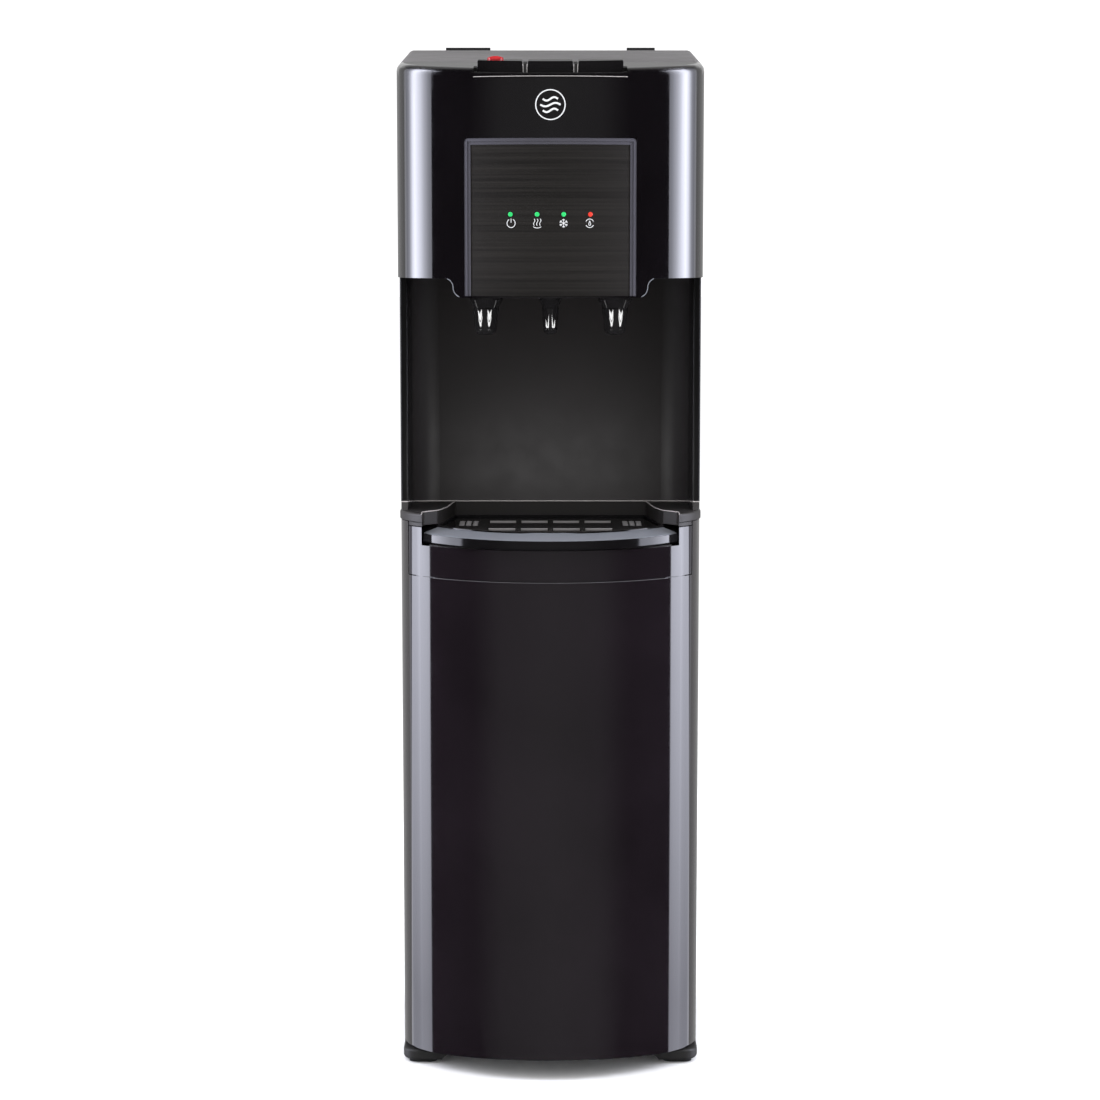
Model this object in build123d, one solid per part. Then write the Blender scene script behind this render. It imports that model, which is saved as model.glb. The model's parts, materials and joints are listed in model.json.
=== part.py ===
from build123d import *
import os
from math import atan, atan2, cos, degrees, radians, sin, sqrt

# Floor-standing bottom-load water dispenser, in millimetres.
# +X is the right side as seen from the front, the front faces -Y, +Z is up.
# The origin is on the floor, at the centre of the bounding box.

# ---- driving dimensions ----
BODY_HALF = 155.0        # half width of the cabinet and the door
HEAD_HALF = 157.0        # half width of the head shroud
SHELF_HALF = 156.2       # half width of the shelf moulding
FRONT_Y = -168.0         # crown of the bowed front
BOW_R = 200.0            # plan radius of the bowed front
CORNER_R = 64.0          # plan radius of the front corners
REAR_Y = 150.0           # outer face of the rear panel
SHEET = 1.5              # thickness of the steel panels
RETURN_X = 146.0         # inner edge of the side panels' front return flanges
BOW_CENTRE_Y = FRONT_Y + BOW_R

DOOR_REAR_Y = -72.0      # rear edge of the door skin
PANEL_FRONT_Y = -69.0    # front edge of the side panels
DOOR_Z = 16.5            # bottom edge of the door at its corners
DOOR_ARCH = 4.5          # rise of the door's bottom edge at the middle
SEAM_Z = 517.0           # seam between the door and the frieze
HORN_TOP_Z = 572.3       # top of the door's two horns
HORN_X = 146.3           # inner face of the horns
PIVOT = (-149.2, -79.0)  # door pivot axis in plan

SHELF_Z = 573.3          # underside of the shelf's ears
DECK_Z = 582.0           # top of the shelf's ears
CHEEK_Z = 590.0          # top of the raised end cheeks
FRIEZE_TOP_Z = 567.8
FRIEZE_HALF = 145.3
NOTCH_HALF = 131.7       # half width of the frieze notch under the tray lip
MAGNET_Z = (280.0, 320.0)
NOTCH_Z = 549.4

ALCOVE_Y = 5.0           # front face of the backsplash
ALCOVE_TOP_Z = 821.2
HEAD_Z = 821.5           # underside of the head at its sides
CHIN_Z = 802.5           # underside of the head's lower middle part
CHIN_HALF = 88.0         # where the chin starts to curve up
CHIN_R = 9.5             # radius of each half of the chin's S curve
HEAD_REAR_Y = -56.5      # rear edge of the shroud
WALL = 3.0               # wall of the plastic mouldings
TOP_FRONT_Z = 1028.0     # height of the sloped top above TOP_FRONT_Y
TOP_FRONT_Y = -160.0
TOP_SLOPE = 0.1228
TOP_ANGLE = degrees(atan(TOP_SLOPE))
TOP_EDGE_R = 8.0
TOP_SKIRT = 14.5         # depth of the top cover's skirt

WINDOW_HALF = 86.0       # faceplate window in the shroud
WINDOW_TOP_Z = 960.4
BEZEL_WIDTH = 6.5
LENS_X = (-39.7, -13.2, 13.2, 39.7)
LENS_Z = 885.3
LENS_R = 2.3

BUTTON_X = (-50.0, 0.0, 50.0)
BUTTON_HALF = 22.3
BUTTON_REAR_V = 30.0
BUTTON_RISE = 7.4        # how far a button stands above the sloped top
BUTTON_DEPTH = 10.0      # how far its skirt goes below the sloped top
BUTTON_FRONT_R = 194.8   # plan radius of the buttons' bowed front faces
PRESS_ROOM = 0.8         # room in front of the buttons while they rock
TRUNNION = (27.0, -5.0)  # button pivot: along the slope, and normal to it
SAFETY = (-54.6, 18.0)   # safety button: x, and along the slope
SAFETY_R = 8.1
SPRING_R = 3.5
SPRING_HEIGHT = 19.2
TUB_FLOOR = -16.4        # floor of the button housing, below the sloped top

SPOUT_X = 65.4
SPOUT_Y = -115.0
ROOM_SPOUT_Y = -100.0
SPOUT_TIP_Z = 764.3

TRAY_Z = 551.0           # underside of the drip tray
TRAY_TOP_Z = 567.5       # its rim
GRILLE_Z = (562.5, 565.5)
GRILLE_WINDOW_X = (-49.8, -16.6, 16.6, 49.8)
GRILLE_WINDOW_Y = (-34.0, -104.0)
TRAY_LIP_R = 155.0       # plan radius of the tray's front lip
TRAY_LIP_WIDTH = 22.0    # its depth from front to back
TRAY_LIP_HALF = 130.5
TRAY_LIP_REAR = -88.0    # where the lip's two ends stop
TRAY_FRONT_Y = FRONT_Y - 12.0
LIP_CENTRE_Y = TRAY_FRONT_Y + TRAY_LIP_R
LIP_INNER_R = TRAY_LIP_R - TRAY_LIP_WIDTH
TRAY_REAR_HALF = 101.5   # half width of the shelf opening at the backsplash
TRAY_FLARE = 0.158       # how fast the opening widens towards the front

DECK_PLATE_Z = 560.0     # underside of the mid deck
TANK_BASE_Z = 822.0      # underside of the cold tank's insulation
COMPRESSOR_XY = (-84.0, 78.0)
HOT_XY = (76.0, 78.0)
COLD_XY = (0.0, 45.0)
PUMP_XY = (-8.0, 128.0)
HOSE_R = 5.0
HOSE_BORE_R = 3.5
HOSE_TURN_R = 48.0
PROBE_X = 116.0

COIL_Y = 166.0
COIL_R = 2.5
COIL_HALF = 112.0
COIL_LOW_Z = 630.0
COIL_PITCH = 40.0
COIL_RUNS = 10

SWITCH_Z = 1026.0
SWITCH_X = (-14.0, 14.0)
DRAIN_Z = 600.0
CORD_XZ = (110.0, 100.0)

GAP = 0.3                # clearance between neighbouring parts
PIN_GAP = 0.05           # radial clearance of a running pin

os.makedirs("parts", exist_ok=True)


# ---- shared shapes ----
def block(x0, x1, y0, y1, z0, z1):
    """Box between two corners."""
    centre = Pos((x0 + x1) / 2, (y0 + y1) / 2, (z0 + z1) / 2)
    return centre * Box(x1 - x0, y1 - y0, z1 - z0)


def mirrored(solid):
    """The solid together with its mirror image across the middle plane."""
    return solid + mirror(solid, Plane.YZ)


def upright(x, y, z0, z1, radius):
    """Vertical cylinder."""
    return Pos(x, y, (z0 + z1) / 2) * Cylinder(radius, z1 - z0)


def along_x(y, z, x0, x1, radius):
    return Pos((x0 + x1) / 2, y, z) * Rot(0, 90, 0) * Cylinder(radius, x1 - x0)


def along_y(x, z, y0, y1, radius):
    return Pos(x, (y0 + y1) / 2, z) * Rot(90, 0, 0) * Cylinder(radius, y1 - y0)


def plate_yz(points, x0, x1):
    outline = Polyline(*[(x0, y, z) for y, z in points], close=True)
    return extrude(make_face(outline), amount=x1 - x0, dir=(1, 0, 0))


def plate_xy(points, z0, z1):
    outline = Polyline(*[(x, y, z0) for x, y in points], close=True)
    return extrude(make_face(outline), amount=z1 - z0, dir=(0, 0, 1))


def bowed(inset, rear_y, z0, z1, half=BODY_HALF):
    """Prism of the plan outline: bowed front, tangent corners, straight sides."""
    bow = BOW_R - inset
    corner = CORNER_R - inset
    corner_x = half - CORNER_R
    reach = BOW_R - CORNER_R
    corner_y = BOW_CENTRE_Y - sqrt(reach ** 2 - corner_x ** 2)
    start = atan2(corner_y - BOW_CENTRE_Y, corner_x)
    join_x = bow * cos(start)
    join_y = BOW_CENTRE_Y + bow * sin(start)
    mid_x = corner_x + corner * cos(start / 2)
    mid_y = corner_y + corner * sin(start / 2)
    side_x = half - inset
    far_y = max(rear_y, corner_y + 5)
    outline = ThreePointArc((-join_x, join_y), (0, FRONT_Y + inset), (join_x, join_y))
    outline += ThreePointArc((join_x, join_y), (mid_x, mid_y), (side_x, corner_y))
    outline += Polyline((side_x, corner_y), (side_x, far_y), (-side_x, far_y), (-side_x, corner_y))
    outline += ThreePointArc((-side_x, corner_y), (-mid_x, mid_y), (-join_x, join_y))
    solid = Pos(0, 0, z0) * extrude(make_face(outline), amount=z1 - z0)
    if rear_y < far_y:
        solid -= block(-half - 9, half + 9, rear_y, far_y + 1, z0 - 1, z1 + 1)
    return solid


def bowed_shell(outer, inner, rear_y, z0, z1, half=BODY_HALF):
    """Wall between two insets of the plan outline, open at the rear."""
    return bowed(outer, rear_y, z0, z1, half) - bowed(inner, rear_y + 1, z0 - 1, z1 + 1, half)


def top_z(y):
    """Height of the sloped top surface."""
    return TOP_FRONT_Z + TOP_SLOPE * (y - TOP_FRONT_Y)


def above_top(drop=0.0):
    """Everything above the sloped top, lowered by drop."""
    low = -260.0
    high = 260.0
    roof = 1300.0
    corners = [(low, top_z(low) - drop), (high, top_z(high) - drop), (high, roof), (low, roof)]
    return plate_yz(corners, -200, 200)


# Local frame of the sloped top: X, V along the slope, W normal to it.
TOP_FRAME = Pos(0, TOP_FRONT_Y, TOP_FRONT_Z) * Rot(TOP_ANGLE, 0, 0)


def top_block(x0, x1, v0, v1, w0, w1):
    return TOP_FRAME * block(x0, x1, v0, v1, w0, w1)


def roof_edges(solid, low_y=-300.0, high_y=300.0):
    """Edges of the upward face whose middles lie between low_y and high_y."""
    roof = solid.faces().sort_by(lambda face: face.normal_at().Z)[-1]
    return roof.edges().filter_by(lambda edge: low_y < edge.center().Y < high_y)


def on_top(x, v, w):
    """Point of the sloped top's frame in the part's frame."""
    y = TOP_FRONT_Y + v * cos(radians(TOP_ANGLE)) - w * sin(radians(TOP_ANGLE))
    z = TOP_FRONT_Z + v * sin(radians(TOP_ANGLE)) + w * cos(radians(TOP_ANGLE))
    return (x, y, z)


def bow_drum(radius, z0, z1):
    """Drum about the bow's own axis, used to give a part the bowed front."""
    return upright(0, BOW_CENTRE_Y, z0, z1, radius)


def lip_drum(radius, z0, z1):
    """Drum about the centre line of the tray's front lip."""
    return upright(0, LIP_CENTRE_Y, z0, z1, radius)


def chin_line(lift):
    """Underside of the head in the XZ plane, offset upwards by lift."""
    low_r = CHIN_R - lift
    high_r = CHIN_R + lift
    mid_z = CHIN_Z + CHIN_R
    wall_x = CHIN_HALF + low_r
    top_x = wall_x + high_r
    diagonal = sqrt(0.5)
    far = 180.0
    right_low = (CHIN_HALF, 0, CHIN_Z + lift)
    right_mid = (wall_x, 0, mid_z)
    right_top = (top_x, 0, HEAD_Z + lift)
    low_mid = (CHIN_HALF + low_r * diagonal, 0, mid_z - low_r * diagonal)
    high_mid = (top_x - high_r * diagonal, 0, mid_z + high_r * diagonal)

    def left(point):
        return (-point[0], 0, point[2])

    line = Line((far, 0, HEAD_Z + lift), right_top)
    line += ThreePointArc(right_top, high_mid, right_mid)
    line += ThreePointArc(right_mid, low_mid, right_low)
    line += Line(right_low, left(right_low))
    line += ThreePointArc(left(right_low), left(low_mid), left(right_mid))
    line += ThreePointArc(left(right_mid), left(high_mid), left(right_top))
    line += Line(left(right_top), (-far, 0, HEAD_Z + lift))
    return line


def below_chin(lift, y0, y1):
    """Everything under the head's underside."""
    far = 180.0
    floor = 700.0
    line = chin_line(lift)
    ends = ((-far, 0, HEAD_Z + lift), (-far, 0, floor), (far, 0, floor), (far, 0, HEAD_Z + lift))
    line += Polyline(*ends)
    return Pos(0, y0, 0) * extrude(make_face(line), amount=y1 - y0, dir=(0, 1, 0))


def tube(points, radii, radius, bore=0.0):
    """Round tube along straight runs joined by tangent arcs."""
    path = FilletPolyline(*points, radius=radii) if radii else Polyline(*points)
    start = Plane(origin=path @ 0, z_dir=path % 0)
    section = start * Circle(radius)
    if bore:
        section -= start * Circle(bore)
    return sweep(section, path=path)


def save(name, shape):
    export_step(shape, f"parts/{name}.step")


# ---- cabinet ----
def base_pan():
    half = BODY_HALF - SHEET - 0.2
    pan = block(-half, half, -64, REAR_Y - SHEET - 0.5, 8, 34)
    pan -= block(-half + 3, half - 3, -61, REAR_Y - SHEET - 3.5, 18, 40)
    pan -= block(-half - 1, half + 1, -70, -60, 20, 40)
    seat = upright(0, -22, 17, 20, 100) - upright(0, -22, 16, 21, 94)
    pan += seat & block(-120, 120, -60.5, 140, 16, 21)
    toe = block(96, BODY_HALF - 0.2, -112, PANEL_FRONT_Y - GAP, 3, 14.5)
    toe = fillet(toe.edges().filter_by(Axis.Z).sort_by(lambda e: e.center().Y - e.center().X)[0], 16)
    rim = toe.edges().filter_by(lambda e: e.center().X > 100 and e.center().Y < PANEL_FRONT_Y - 1)
    toe = fillet(rim.filter_by(lambda e: e.center().Z > 14), 2.5)
    rim = toe.edges().filter_by(lambda e: e.center().Z < 3.1 and e.center().X > 100)
    toe = fillet(rim.filter_by(lambda e: e.center().Y < PANEL_FRONT_Y - 1), 4.0)
    toe += block(96, half, PANEL_FRONT_Y - 1, -50, 3, 12)
    slope = Line((104, -150, 14), (104, -150, 11))
    slope += ThreePointArc((104, -150, 11), (110, -150, 8.6), (114, -150, 3))
    slope += Polyline((114, -150, 3), (114, -150, 0), (90, -150, 0), (90, -150, 14), (104, -150, 14))
    toe -= extrude(make_face(slope), amount=120, dir=(0, 1, 0))
    pan += mirrored(toe)
    for x in (-125, 125):
        pan += upright(x, 120, 2.5, 9, 17)
    pan -= upright(*PIVOT, 6, 15, 2.0 + PIN_GAP)
    save("base_pan", pan)


def foot_pads():
    """Rubber pads: two shaped ones under the toes, two round ones at the rear."""
    front = block(119, 149, -106, -58, 0, 3)
    front = fillet(front.edges().filter_by(Axis.Z), 8)
    rear = upright(125, 120, 0, 2.5, 14)
    save("foot_pads", mirrored(front + rear))


def side_panel(name, side):
    rim = TOP_SKIRT + GAP
    rear = REAR_Y - SHEET
    head_y = HEAD_REAR_Y + 0.6
    outline = [
        (PANEL_FRONT_Y, 12), (rear, 12), (rear, top_z(rear) - rim), (head_y, top_z(head_y) - rim),
        (head_y, HEAD_Z - 0.8), (PANEL_FRONT_Y, HEAD_Z - 0.8),
    ]
    panel = plate_yz(outline, BODY_HALF - SHEET, BODY_HALF)
    panel += block(140, BODY_HALF, rear - SHEET, rear, 36, 1040)
    panel += block(RETURN_X, BODY_HALF, PANEL_FRONT_Y, PANEL_FRONT_Y + SHEET, 36, 545)
    panel -= block(BODY_HALF - SHEET - 1, BODY_HALF + 1, rear - 1.6, rear + 1, 0, 36)
    if side < 0:
        panel = mirror(panel, Plane.YZ)
    save(name, panel)


def rear_panel():
    top = top_z(REAR_Y) - TOP_SKIRT - GAP
    panel = block(-BODY_HALF, BODY_HALF, REAR_Y - SHEET, REAR_Y, 12, top)
    for row in range(8):
        z = 110 + 14 * row
        for x in (-70, 0):
            panel -= block(x - 28, x + 28, REAR_Y - 5, REAR_Y + 5, z, z + 5)
    for row in range(5):
        z = 572 + 9 * row
        panel -= block(-60, 40, REAR_Y - 5, REAR_Y + 5, z, z + 4)
    panel -= block(-29.5, 29.5, REAR_Y - 5, REAR_Y + 5, SWITCH_Z - 13.5, SWITCH_Z + 13.5)
    panel -= along_y(HOT_XY[0], DRAIN_Z, 140, 160, 8.3)
    panel -= along_y(CORD_XZ[0], CORD_XZ[1], 140, 160, 8.2)
    panel -= along_y(-110, COIL_LOW_Z + 9 * COIL_PITCH, 140, 160, 4)
    panel -= along_y(-135, COIL_LOW_Z - 40, 140, 160, 4)
    save("rear_panel", panel)


def panel_screws():
    screws = []
    for x in (-147.5, 147.5):
        for z in (60, 300, 540, 780, 1010):
            head = along_y(x, z, REAR_Y, REAR_Y + 2.2, 3.6)
            slots = block(x - 2.2, x + 2.2, REAR_Y + 1.2, REAR_Y + 3, z - 0.5, z + 0.5)
            slots += block(x - 0.5, x + 0.5, REAR_Y + 1.2, REAR_Y + 3, z - 2.2, z + 2.2)
            screws.append(head - slots)
    save("panel_screws", Compound(children=screws))


def mid_deck():
    half = BODY_HALF - SHEET - 0.7
    deck = block(-half, half, 9.5, 146.6, DECK_PLATE_Z, DECK_PLATE_Z + 2)
    flange = block(half - SHEET, half, 9.5, 146.6, DECK_PLATE_Z - 18, DECK_PLATE_Z + 2)
    deck += mirrored(flange)
    deck -= upright(*PUMP_XY, 555, 565, 7.0)
    for i in range(6):
        y = 40 + 12 * i
        deck -= block(-16, 4, y - 3, y + 3, 555, 565)
    save("mid_deck", deck)


# ---- door ----
def door_skin():
    """Bowed outer skin with two narrow horns that reach up to the shelf."""
    skin = bowed_shell(0, 2.5, DOOR_REAR_Y, DOOR_Z, HORN_TOP_Z)
    skin -= block(-HORN_X, HORN_X, -200, 0, SEAM_Z, 700)
    arch_r = (120 ** 2 + DOOR_ARCH ** 2) / (2 * DOOR_ARCH)
    skin -= along_y(0, DOOR_Z + DOOR_ARCH - arch_r, -200, 0, arch_r)
    save("door_skin", skin)


def door_liner():
    """Inner panel of the door, with a shallow lip at its top and bottom."""
    rear = DOOR_REAR_Y - 0.5
    liner = bowed_shell(2.5, 5.0, rear, 22, 514)
    liner += bowed_shell(2.5, 9.5, rear, 22, 25)
    liner += bowed_shell(2.5, 9.5, rear, 511, 514)
    liner += bowed_shell(2.5, 7.5, rear, 180, 182.5)
    liner += bowed_shell(2.5, 7.5, rear, 345, 347.5)
    horn = bowed(2.5, rear, 511, HORN_TOP_Z - 0.6) & block(HORN_X, 160, -200, 0, 500, 600)
    liner += mirrored(horn)
    liner -= upright(*PIVOT, 21, 26, 2.0)
    liner -= upright(*PIVOT, 550, 580, 2.0)
    save("door_liner", liner)


def door_pins():
    lower = upright(*PIVOT, 6.5, 25, 2.0)
    upper = upright(*PIVOT, 550, 579, 2.0)
    save("door_pins", lower + upper)


def door_magnet():
    rear = DOOR_REAR_Y - 1.0
    magnet = bowed(5.0, rear, *MAGNET_Z) & block(137, 156, rear - 8, rear, *MAGNET_Z)
    save("door_magnet", magnet)


def strike_plate():
    """Stepped steel plate behind the right side panel's flange, for the door magnet."""
    back_y = PANEL_FRONT_Y + SHEET
    low = MAGNET_Z[0] - 4
    high = MAGNET_Z[1] + 4
    plate = block(134, 152, back_y, back_y + SHEET, low, high)
    plate += block(134, RETURN_X - 0.2, PANEL_FRONT_Y, back_y, low, high)
    save("strike_plate", plate)


def frieze_panel():
    """Fixed band above the door, with a rear lip that closes the seam between them."""
    panel = bowed_shell(0, 3, -95, SEAM_Z + 0.9, FRIEZE_TOP_Z)
    panel &= block(-FRIEZE_HALF, FRIEZE_HALF, -200, 0, 500, 600)
    lip = bowed_shell(2.8, 4.5, -95, SEAM_Z - 2.4, SEAM_Z + 8)
    panel += lip & block(-FRIEZE_HALF + 7, FRIEZE_HALF - 7, -200, 0, 500, 600)
    panel -= block(-NOTCH_HALF, NOTCH_HALF, -200, 0, NOTCH_Z, 600)
    save("frieze_panel", panel)


# ---- shelf, tray and grille ----
def tray_outline(spread, rear_y, front_y):
    """Trapezoid that widens towards the front, spread outwards by spread."""
    rear = TRAY_REAR_HALF + spread + TRAY_FLARE * (ALCOVE_Y - rear_y)
    front = TRAY_REAR_HALF + spread + TRAY_FLARE * (ALCOVE_Y - front_y)
    return [(rear, rear_y), (front, front_y), (-front, front_y), (-rear, rear_y)]


def mouth_opening():
    """Flared front end of the shelf opening, with an S-shaped edge at each side."""
    neck_x, neck_y = tray_outline(0, ALCOVE_Y, TRAY_LIP_REAR)[1]
    mouth_x = NOTCH_HALF - 0.4
    start = (neck_x - 8, neck_y + 30)
    end = (mouth_x, -200)
    edge = FilletPolyline(start, (neck_x, neck_y), (mouth_x, neck_y - 17), end, radius=9)
    outline = edge + Polyline(end, (0, -200), (0, neck_y + 30), start)
    half = Pos(0, 0, SHELF_Z - 20) * extrude(make_face(outline), amount=60)
    return mirrored(half)


def tray_shelf():
    """Shelf moulding with a pocket for the drip tray, raised cheeks and pivot bore.

    A skirt carries the S-shaped edges of its mouth down to the tray's lip.
    """
    inner_half = BODY_HALF - SHEET - GAP
    pocket_z = 547.6
    plate = bowed(BODY_HALF - SHELF_HALF, PANEL_FRONT_Y - GAP, SHELF_Z, DECK_Z)
    plate = fillet(roof_edges(plate, high_y=PANEL_FRONT_Y - 0.5), 2.5)
    plate += block(-inner_half, inner_half, PANEL_FRONT_Y - 1, ALCOVE_Y + 3, SHELF_Z, DECK_Z)
    cheek_side = [(PANEL_FRONT_Y - GAP, 575), (PANEL_FRONT_Y - GAP, CHEEK_Z), (-77.5, CHEEK_Z), (-92, 575)]
    cheek = plate_yz(cheek_side, 147.5, BODY_HALF)
    cheek &= bowed(0, 0, 570, 600)
    shelf = plate + mirrored(cheek)
    strip = bowed_shell(0.3, 3.3, -95, FRIEZE_TOP_Z + 0.8, SHELF_Z - 0.9)
    strip += bowed_shell(1.8, 3.3, -95, FRIEZE_TOP_Z + 0.8, SHELF_Z + 0.5)
    strip &= block(-FRIEZE_HALF, FRIEZE_HALF, -200, 0, 500, 600)
    shelf += strip
    tub = plate_xy(tray_outline(3.0, ALCOVE_Y + 3, -150), pocket_z, SHELF_Z + 1)
    tub &= bowed(3.6, 20, 540, 600)
    shelf += tub
    lip_top = TRAY_TOP_Z + 0.8
    skirt = block(-NOTCH_HALF - 1.5, NOTCH_HALF + 1.5, -200, TRAY_LIP_REAR + 2, lip_top, SHELF_Z + 1)
    shelf += skirt & bowed(3.6, 20, 540, 600)
    cavity = plate_xy(tray_outline(0, ALCOVE_Y - 0.2, -160), TRAY_Z - 0.8, 620)
    lip_room = block(-NOTCH_HALF, NOTCH_HALF, -220, TRAY_LIP_REAR + 2, TRAY_Z - 0.8, lip_top)
    shelf -= cavity + lip_room + mouth_opening()
    shelf -= upright(*PIVOT, SHELF_Z - 1, 579.4, 2.0 + PIN_GAP)
    save("tray_shelf", shelf)


def drip_tray():
    """Shallow basin with a bowed front lip that overhangs the frieze."""
    floor_z = TRAY_Z + 2
    basin = plate_xy(tray_outline(-0.8, ALCOVE_Y - 1.2, -160), TRAY_Z, TRAY_TOP_Z)
    basin &= lip_drum(LIP_INNER_R + 5, 540, 600)
    room = plate_xy(tray_outline(-2.8, ALCOVE_Y - 3.2, -160), floor_z, 600)
    room &= lip_drum(LIP_INNER_R, 540, 600)
    posts = []
    for x in (-80, 0, 80):
        for y in (-20, -90):
            posts.append(upright(x, y, floor_z - 1, GRILLE_Z[0] - GAP, 3.5))
    profile = [
        (LIP_INNER_R, TRAY_Z), (TRAY_LIP_R - 1, TRAY_Z), (TRAY_LIP_R, TRAY_Z + 1.5), (TRAY_LIP_R, 560.4),
        (TRAY_LIP_R - 1, 561.4), (LIP_INNER_R + 2.5, TRAY_TOP_Z - 1.1), (LIP_INNER_R, TRAY_TOP_Z),
    ]
    outline = Polyline(*[(r, LIP_CENTRE_Y, z) for r, z in profile], close=True)
    ring = revolve(make_face(outline), Axis((0, LIP_CENTRE_Y, 0), (0, 0, 1)), -180)
    ring &= block(-TRAY_LIP_HALF, TRAY_LIP_HALF, -200, TRAY_LIP_REAR, 540, 580)
    tray = basin + ring - room
    for post in posts:
        tray += post
    save("drip_tray", tray)


def drip_grille():
    """Flat grille: two rows of four windows, and a patch of drain holes at each side."""
    plate = plate_xy(tray_outline(-3.6, ALCOVE_Y - 4, -160), *GRILLE_Z) & lip_drum(LIP_INNER_R - 0.8, 540, 600)
    for rear_y in GRILLE_WINDOW_Y:
        for x in GRILLE_WINDOW_X:
            plate -= block(x - 14.4, x + 14.4, rear_y - 24, rear_y, 560, 570)
    for side in (-1, 1):
        for row in range(4):
            for col in range(3):
                x = side * (78 + 7 * col)
                plate -= upright(x, -45 - 11 * row, 560, 570, 2.4)
    save("drip_grille", plate)


# ---- alcove ----
def backsplash():
    """Alcove moulding: rear wall, rounded inner corners and forward side walls."""
    front = -77.0
    wall = 2.5
    turn_r = 28.0
    bend_x = 118.0
    mouth_x = bend_x + turn_r + 1.0
    outer_x = BODY_HALF - SHEET - 0.6
    bend_y = ALCOVE_Y - turn_r
    diagonal = turn_r * sqrt(0.5)
    inner_mid = (bend_x + diagonal, bend_y + diagonal)
    outer_r = turn_r + wall
    outer_mid = (bend_x + outer_r * sqrt(0.5), bend_y + outer_r * sqrt(0.5))
    half = Line((0, ALCOVE_Y), (bend_x, ALCOVE_Y))
    half += ThreePointArc((bend_x, ALCOVE_Y), inner_mid, (bend_x + turn_r, bend_y))
    half += Line((bend_x + turn_r, bend_y), (mouth_x, front + 2))
    half += ThreePointArc((mouth_x, front + 2), (mouth_x + 0.6, front + 0.6), (mouth_x + 2, front))
    half += Line((mouth_x + 2, front), (BODY_HALF - 2.5, front))
    bead = (BODY_HALF - 2.5 + 2.5 * sqrt(0.5), front + 2.5 - 2.5 * sqrt(0.5))
    half += ThreePointArc((BODY_HALF - 2.5, front), bead, (BODY_HALF, front + 2.5))
    half += Polyline(
        (BODY_HALF, front + 2.5), (BODY_HALF, PANEL_FRONT_Y - GAP), (outer_x, PANEL_FRONT_Y - GAP),
        (outer_x, -60), (bend_x + outer_r, -60), (bend_x + outer_r, bend_y))
    half += ThreePointArc((bend_x + outer_r, bend_y), outer_mid, (bend_x, ALCOVE_Y + wall))
    half += Polyline((bend_x, ALCOVE_Y + wall), (0, ALCOVE_Y + wall), (0, ALCOVE_Y))
    wing = Pos(0, 0, DECK_Z) * extrude(make_face(half), amount=ALCOVE_TOP_Z - DECK_Z)
    wing -= block(146, 160, -90, PANEL_FRONT_Y, DECK_Z - 1, CHEEK_Z)
    wing -= block(-1, 95, ALCOVE_Y - 1, 20, 804, 830)
    save("backsplash", mirrored(wing))


# ---- head ----
def head_shroud():
    """Piano-black front of the head, with its underside, window and button cut-out."""
    low = CHIN_Z - 8
    outer = bowed(0, HEAD_REAR_Y, low, 1080, HEAD_HALF) - above_top()
    outer = fillet(roof_edges(outer, high_y=HEAD_REAR_Y - 0.5), TOP_EDGE_R)
    inner = bowed(WALL, HEAD_REAR_Y + 1, low - 1, 1080, HEAD_HALF) - above_top(WALL)
    inner = fillet(roof_edges(inner, high_y=HEAD_REAR_Y + 0.5), TOP_EDGE_R - WALL)
    shell = outer - inner
    side = BODY_HALF - 2.4
    web = bowed(WALL - 0.2, HEAD_REAR_Y, CHIN_Z - 8, 840, HEAD_HALF)
    web += block(-side, side, HEAD_REAR_Y - 1, ALCOVE_Y - 0.4, CHIN_Z - 8, 840)
    web &= below_chin(WALL, -200, 60)
    shell += web
    shell -= below_chin(0, -200, 60)
    window = block(-WINDOW_HALF, WINDOW_HALF, -200, -130, CHIN_Z + 1.4, WINDOW_TOP_Z)
    shell -= fillet(window.edges().filter_by(Axis.Y).sort_by(Axis.Z)[-2:], 4)
    shell -= top_block(-76.3, 76.3, -30, 34.5, -4.0, 30)
    shell -= top_block(-76.3, 76.3, -30, 34.5, -30, 30) & bow_drum(BOW_R - WALL, 950, 1060)
    for x in (-SPOUT_X, SPOUT_X):
        shell -= upright(x, SPOUT_Y, 790, 815, 9.3)
    shell -= upright(0, ROOM_SPOUT_Y, 790, 815, 6.3)
    save("head_shroud", shell)


def top_cover():
    """Sloped lid behind the shroud, with a skirt over the side and rear panels."""
    front = HEAD_REAR_Y + 0.5
    rear = REAR_Y + 1.8
    inner_half = BODY_HALF + GAP
    side = [
        (front, top_z(front) - TOP_SKIRT), (rear, top_z(rear) - TOP_SKIRT),
        (rear, top_z(rear)), (front, top_z(front)),
    ]
    cover = plate_yz(side, -HEAD_HALF, HEAD_HALF)
    cover = fillet(roof_edges(cover, low_y=front + 1), TOP_EDGE_R)
    inner_rear = REAR_Y + GAP
    hollow = [
        (front - 1, top_z(front) - 30), (inner_rear, top_z(inner_rear) - 30),
        (inner_rear, top_z(inner_rear) - WALL), (front - 1, top_z(front - 1) - WALL),
    ]
    room = plate_yz(hollow, -inner_half, inner_half)
    room = fillet(roof_edges(room, low_y=front + 1), TOP_EDGE_R - WALL)
    save("top_cover", cover - room)


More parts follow.
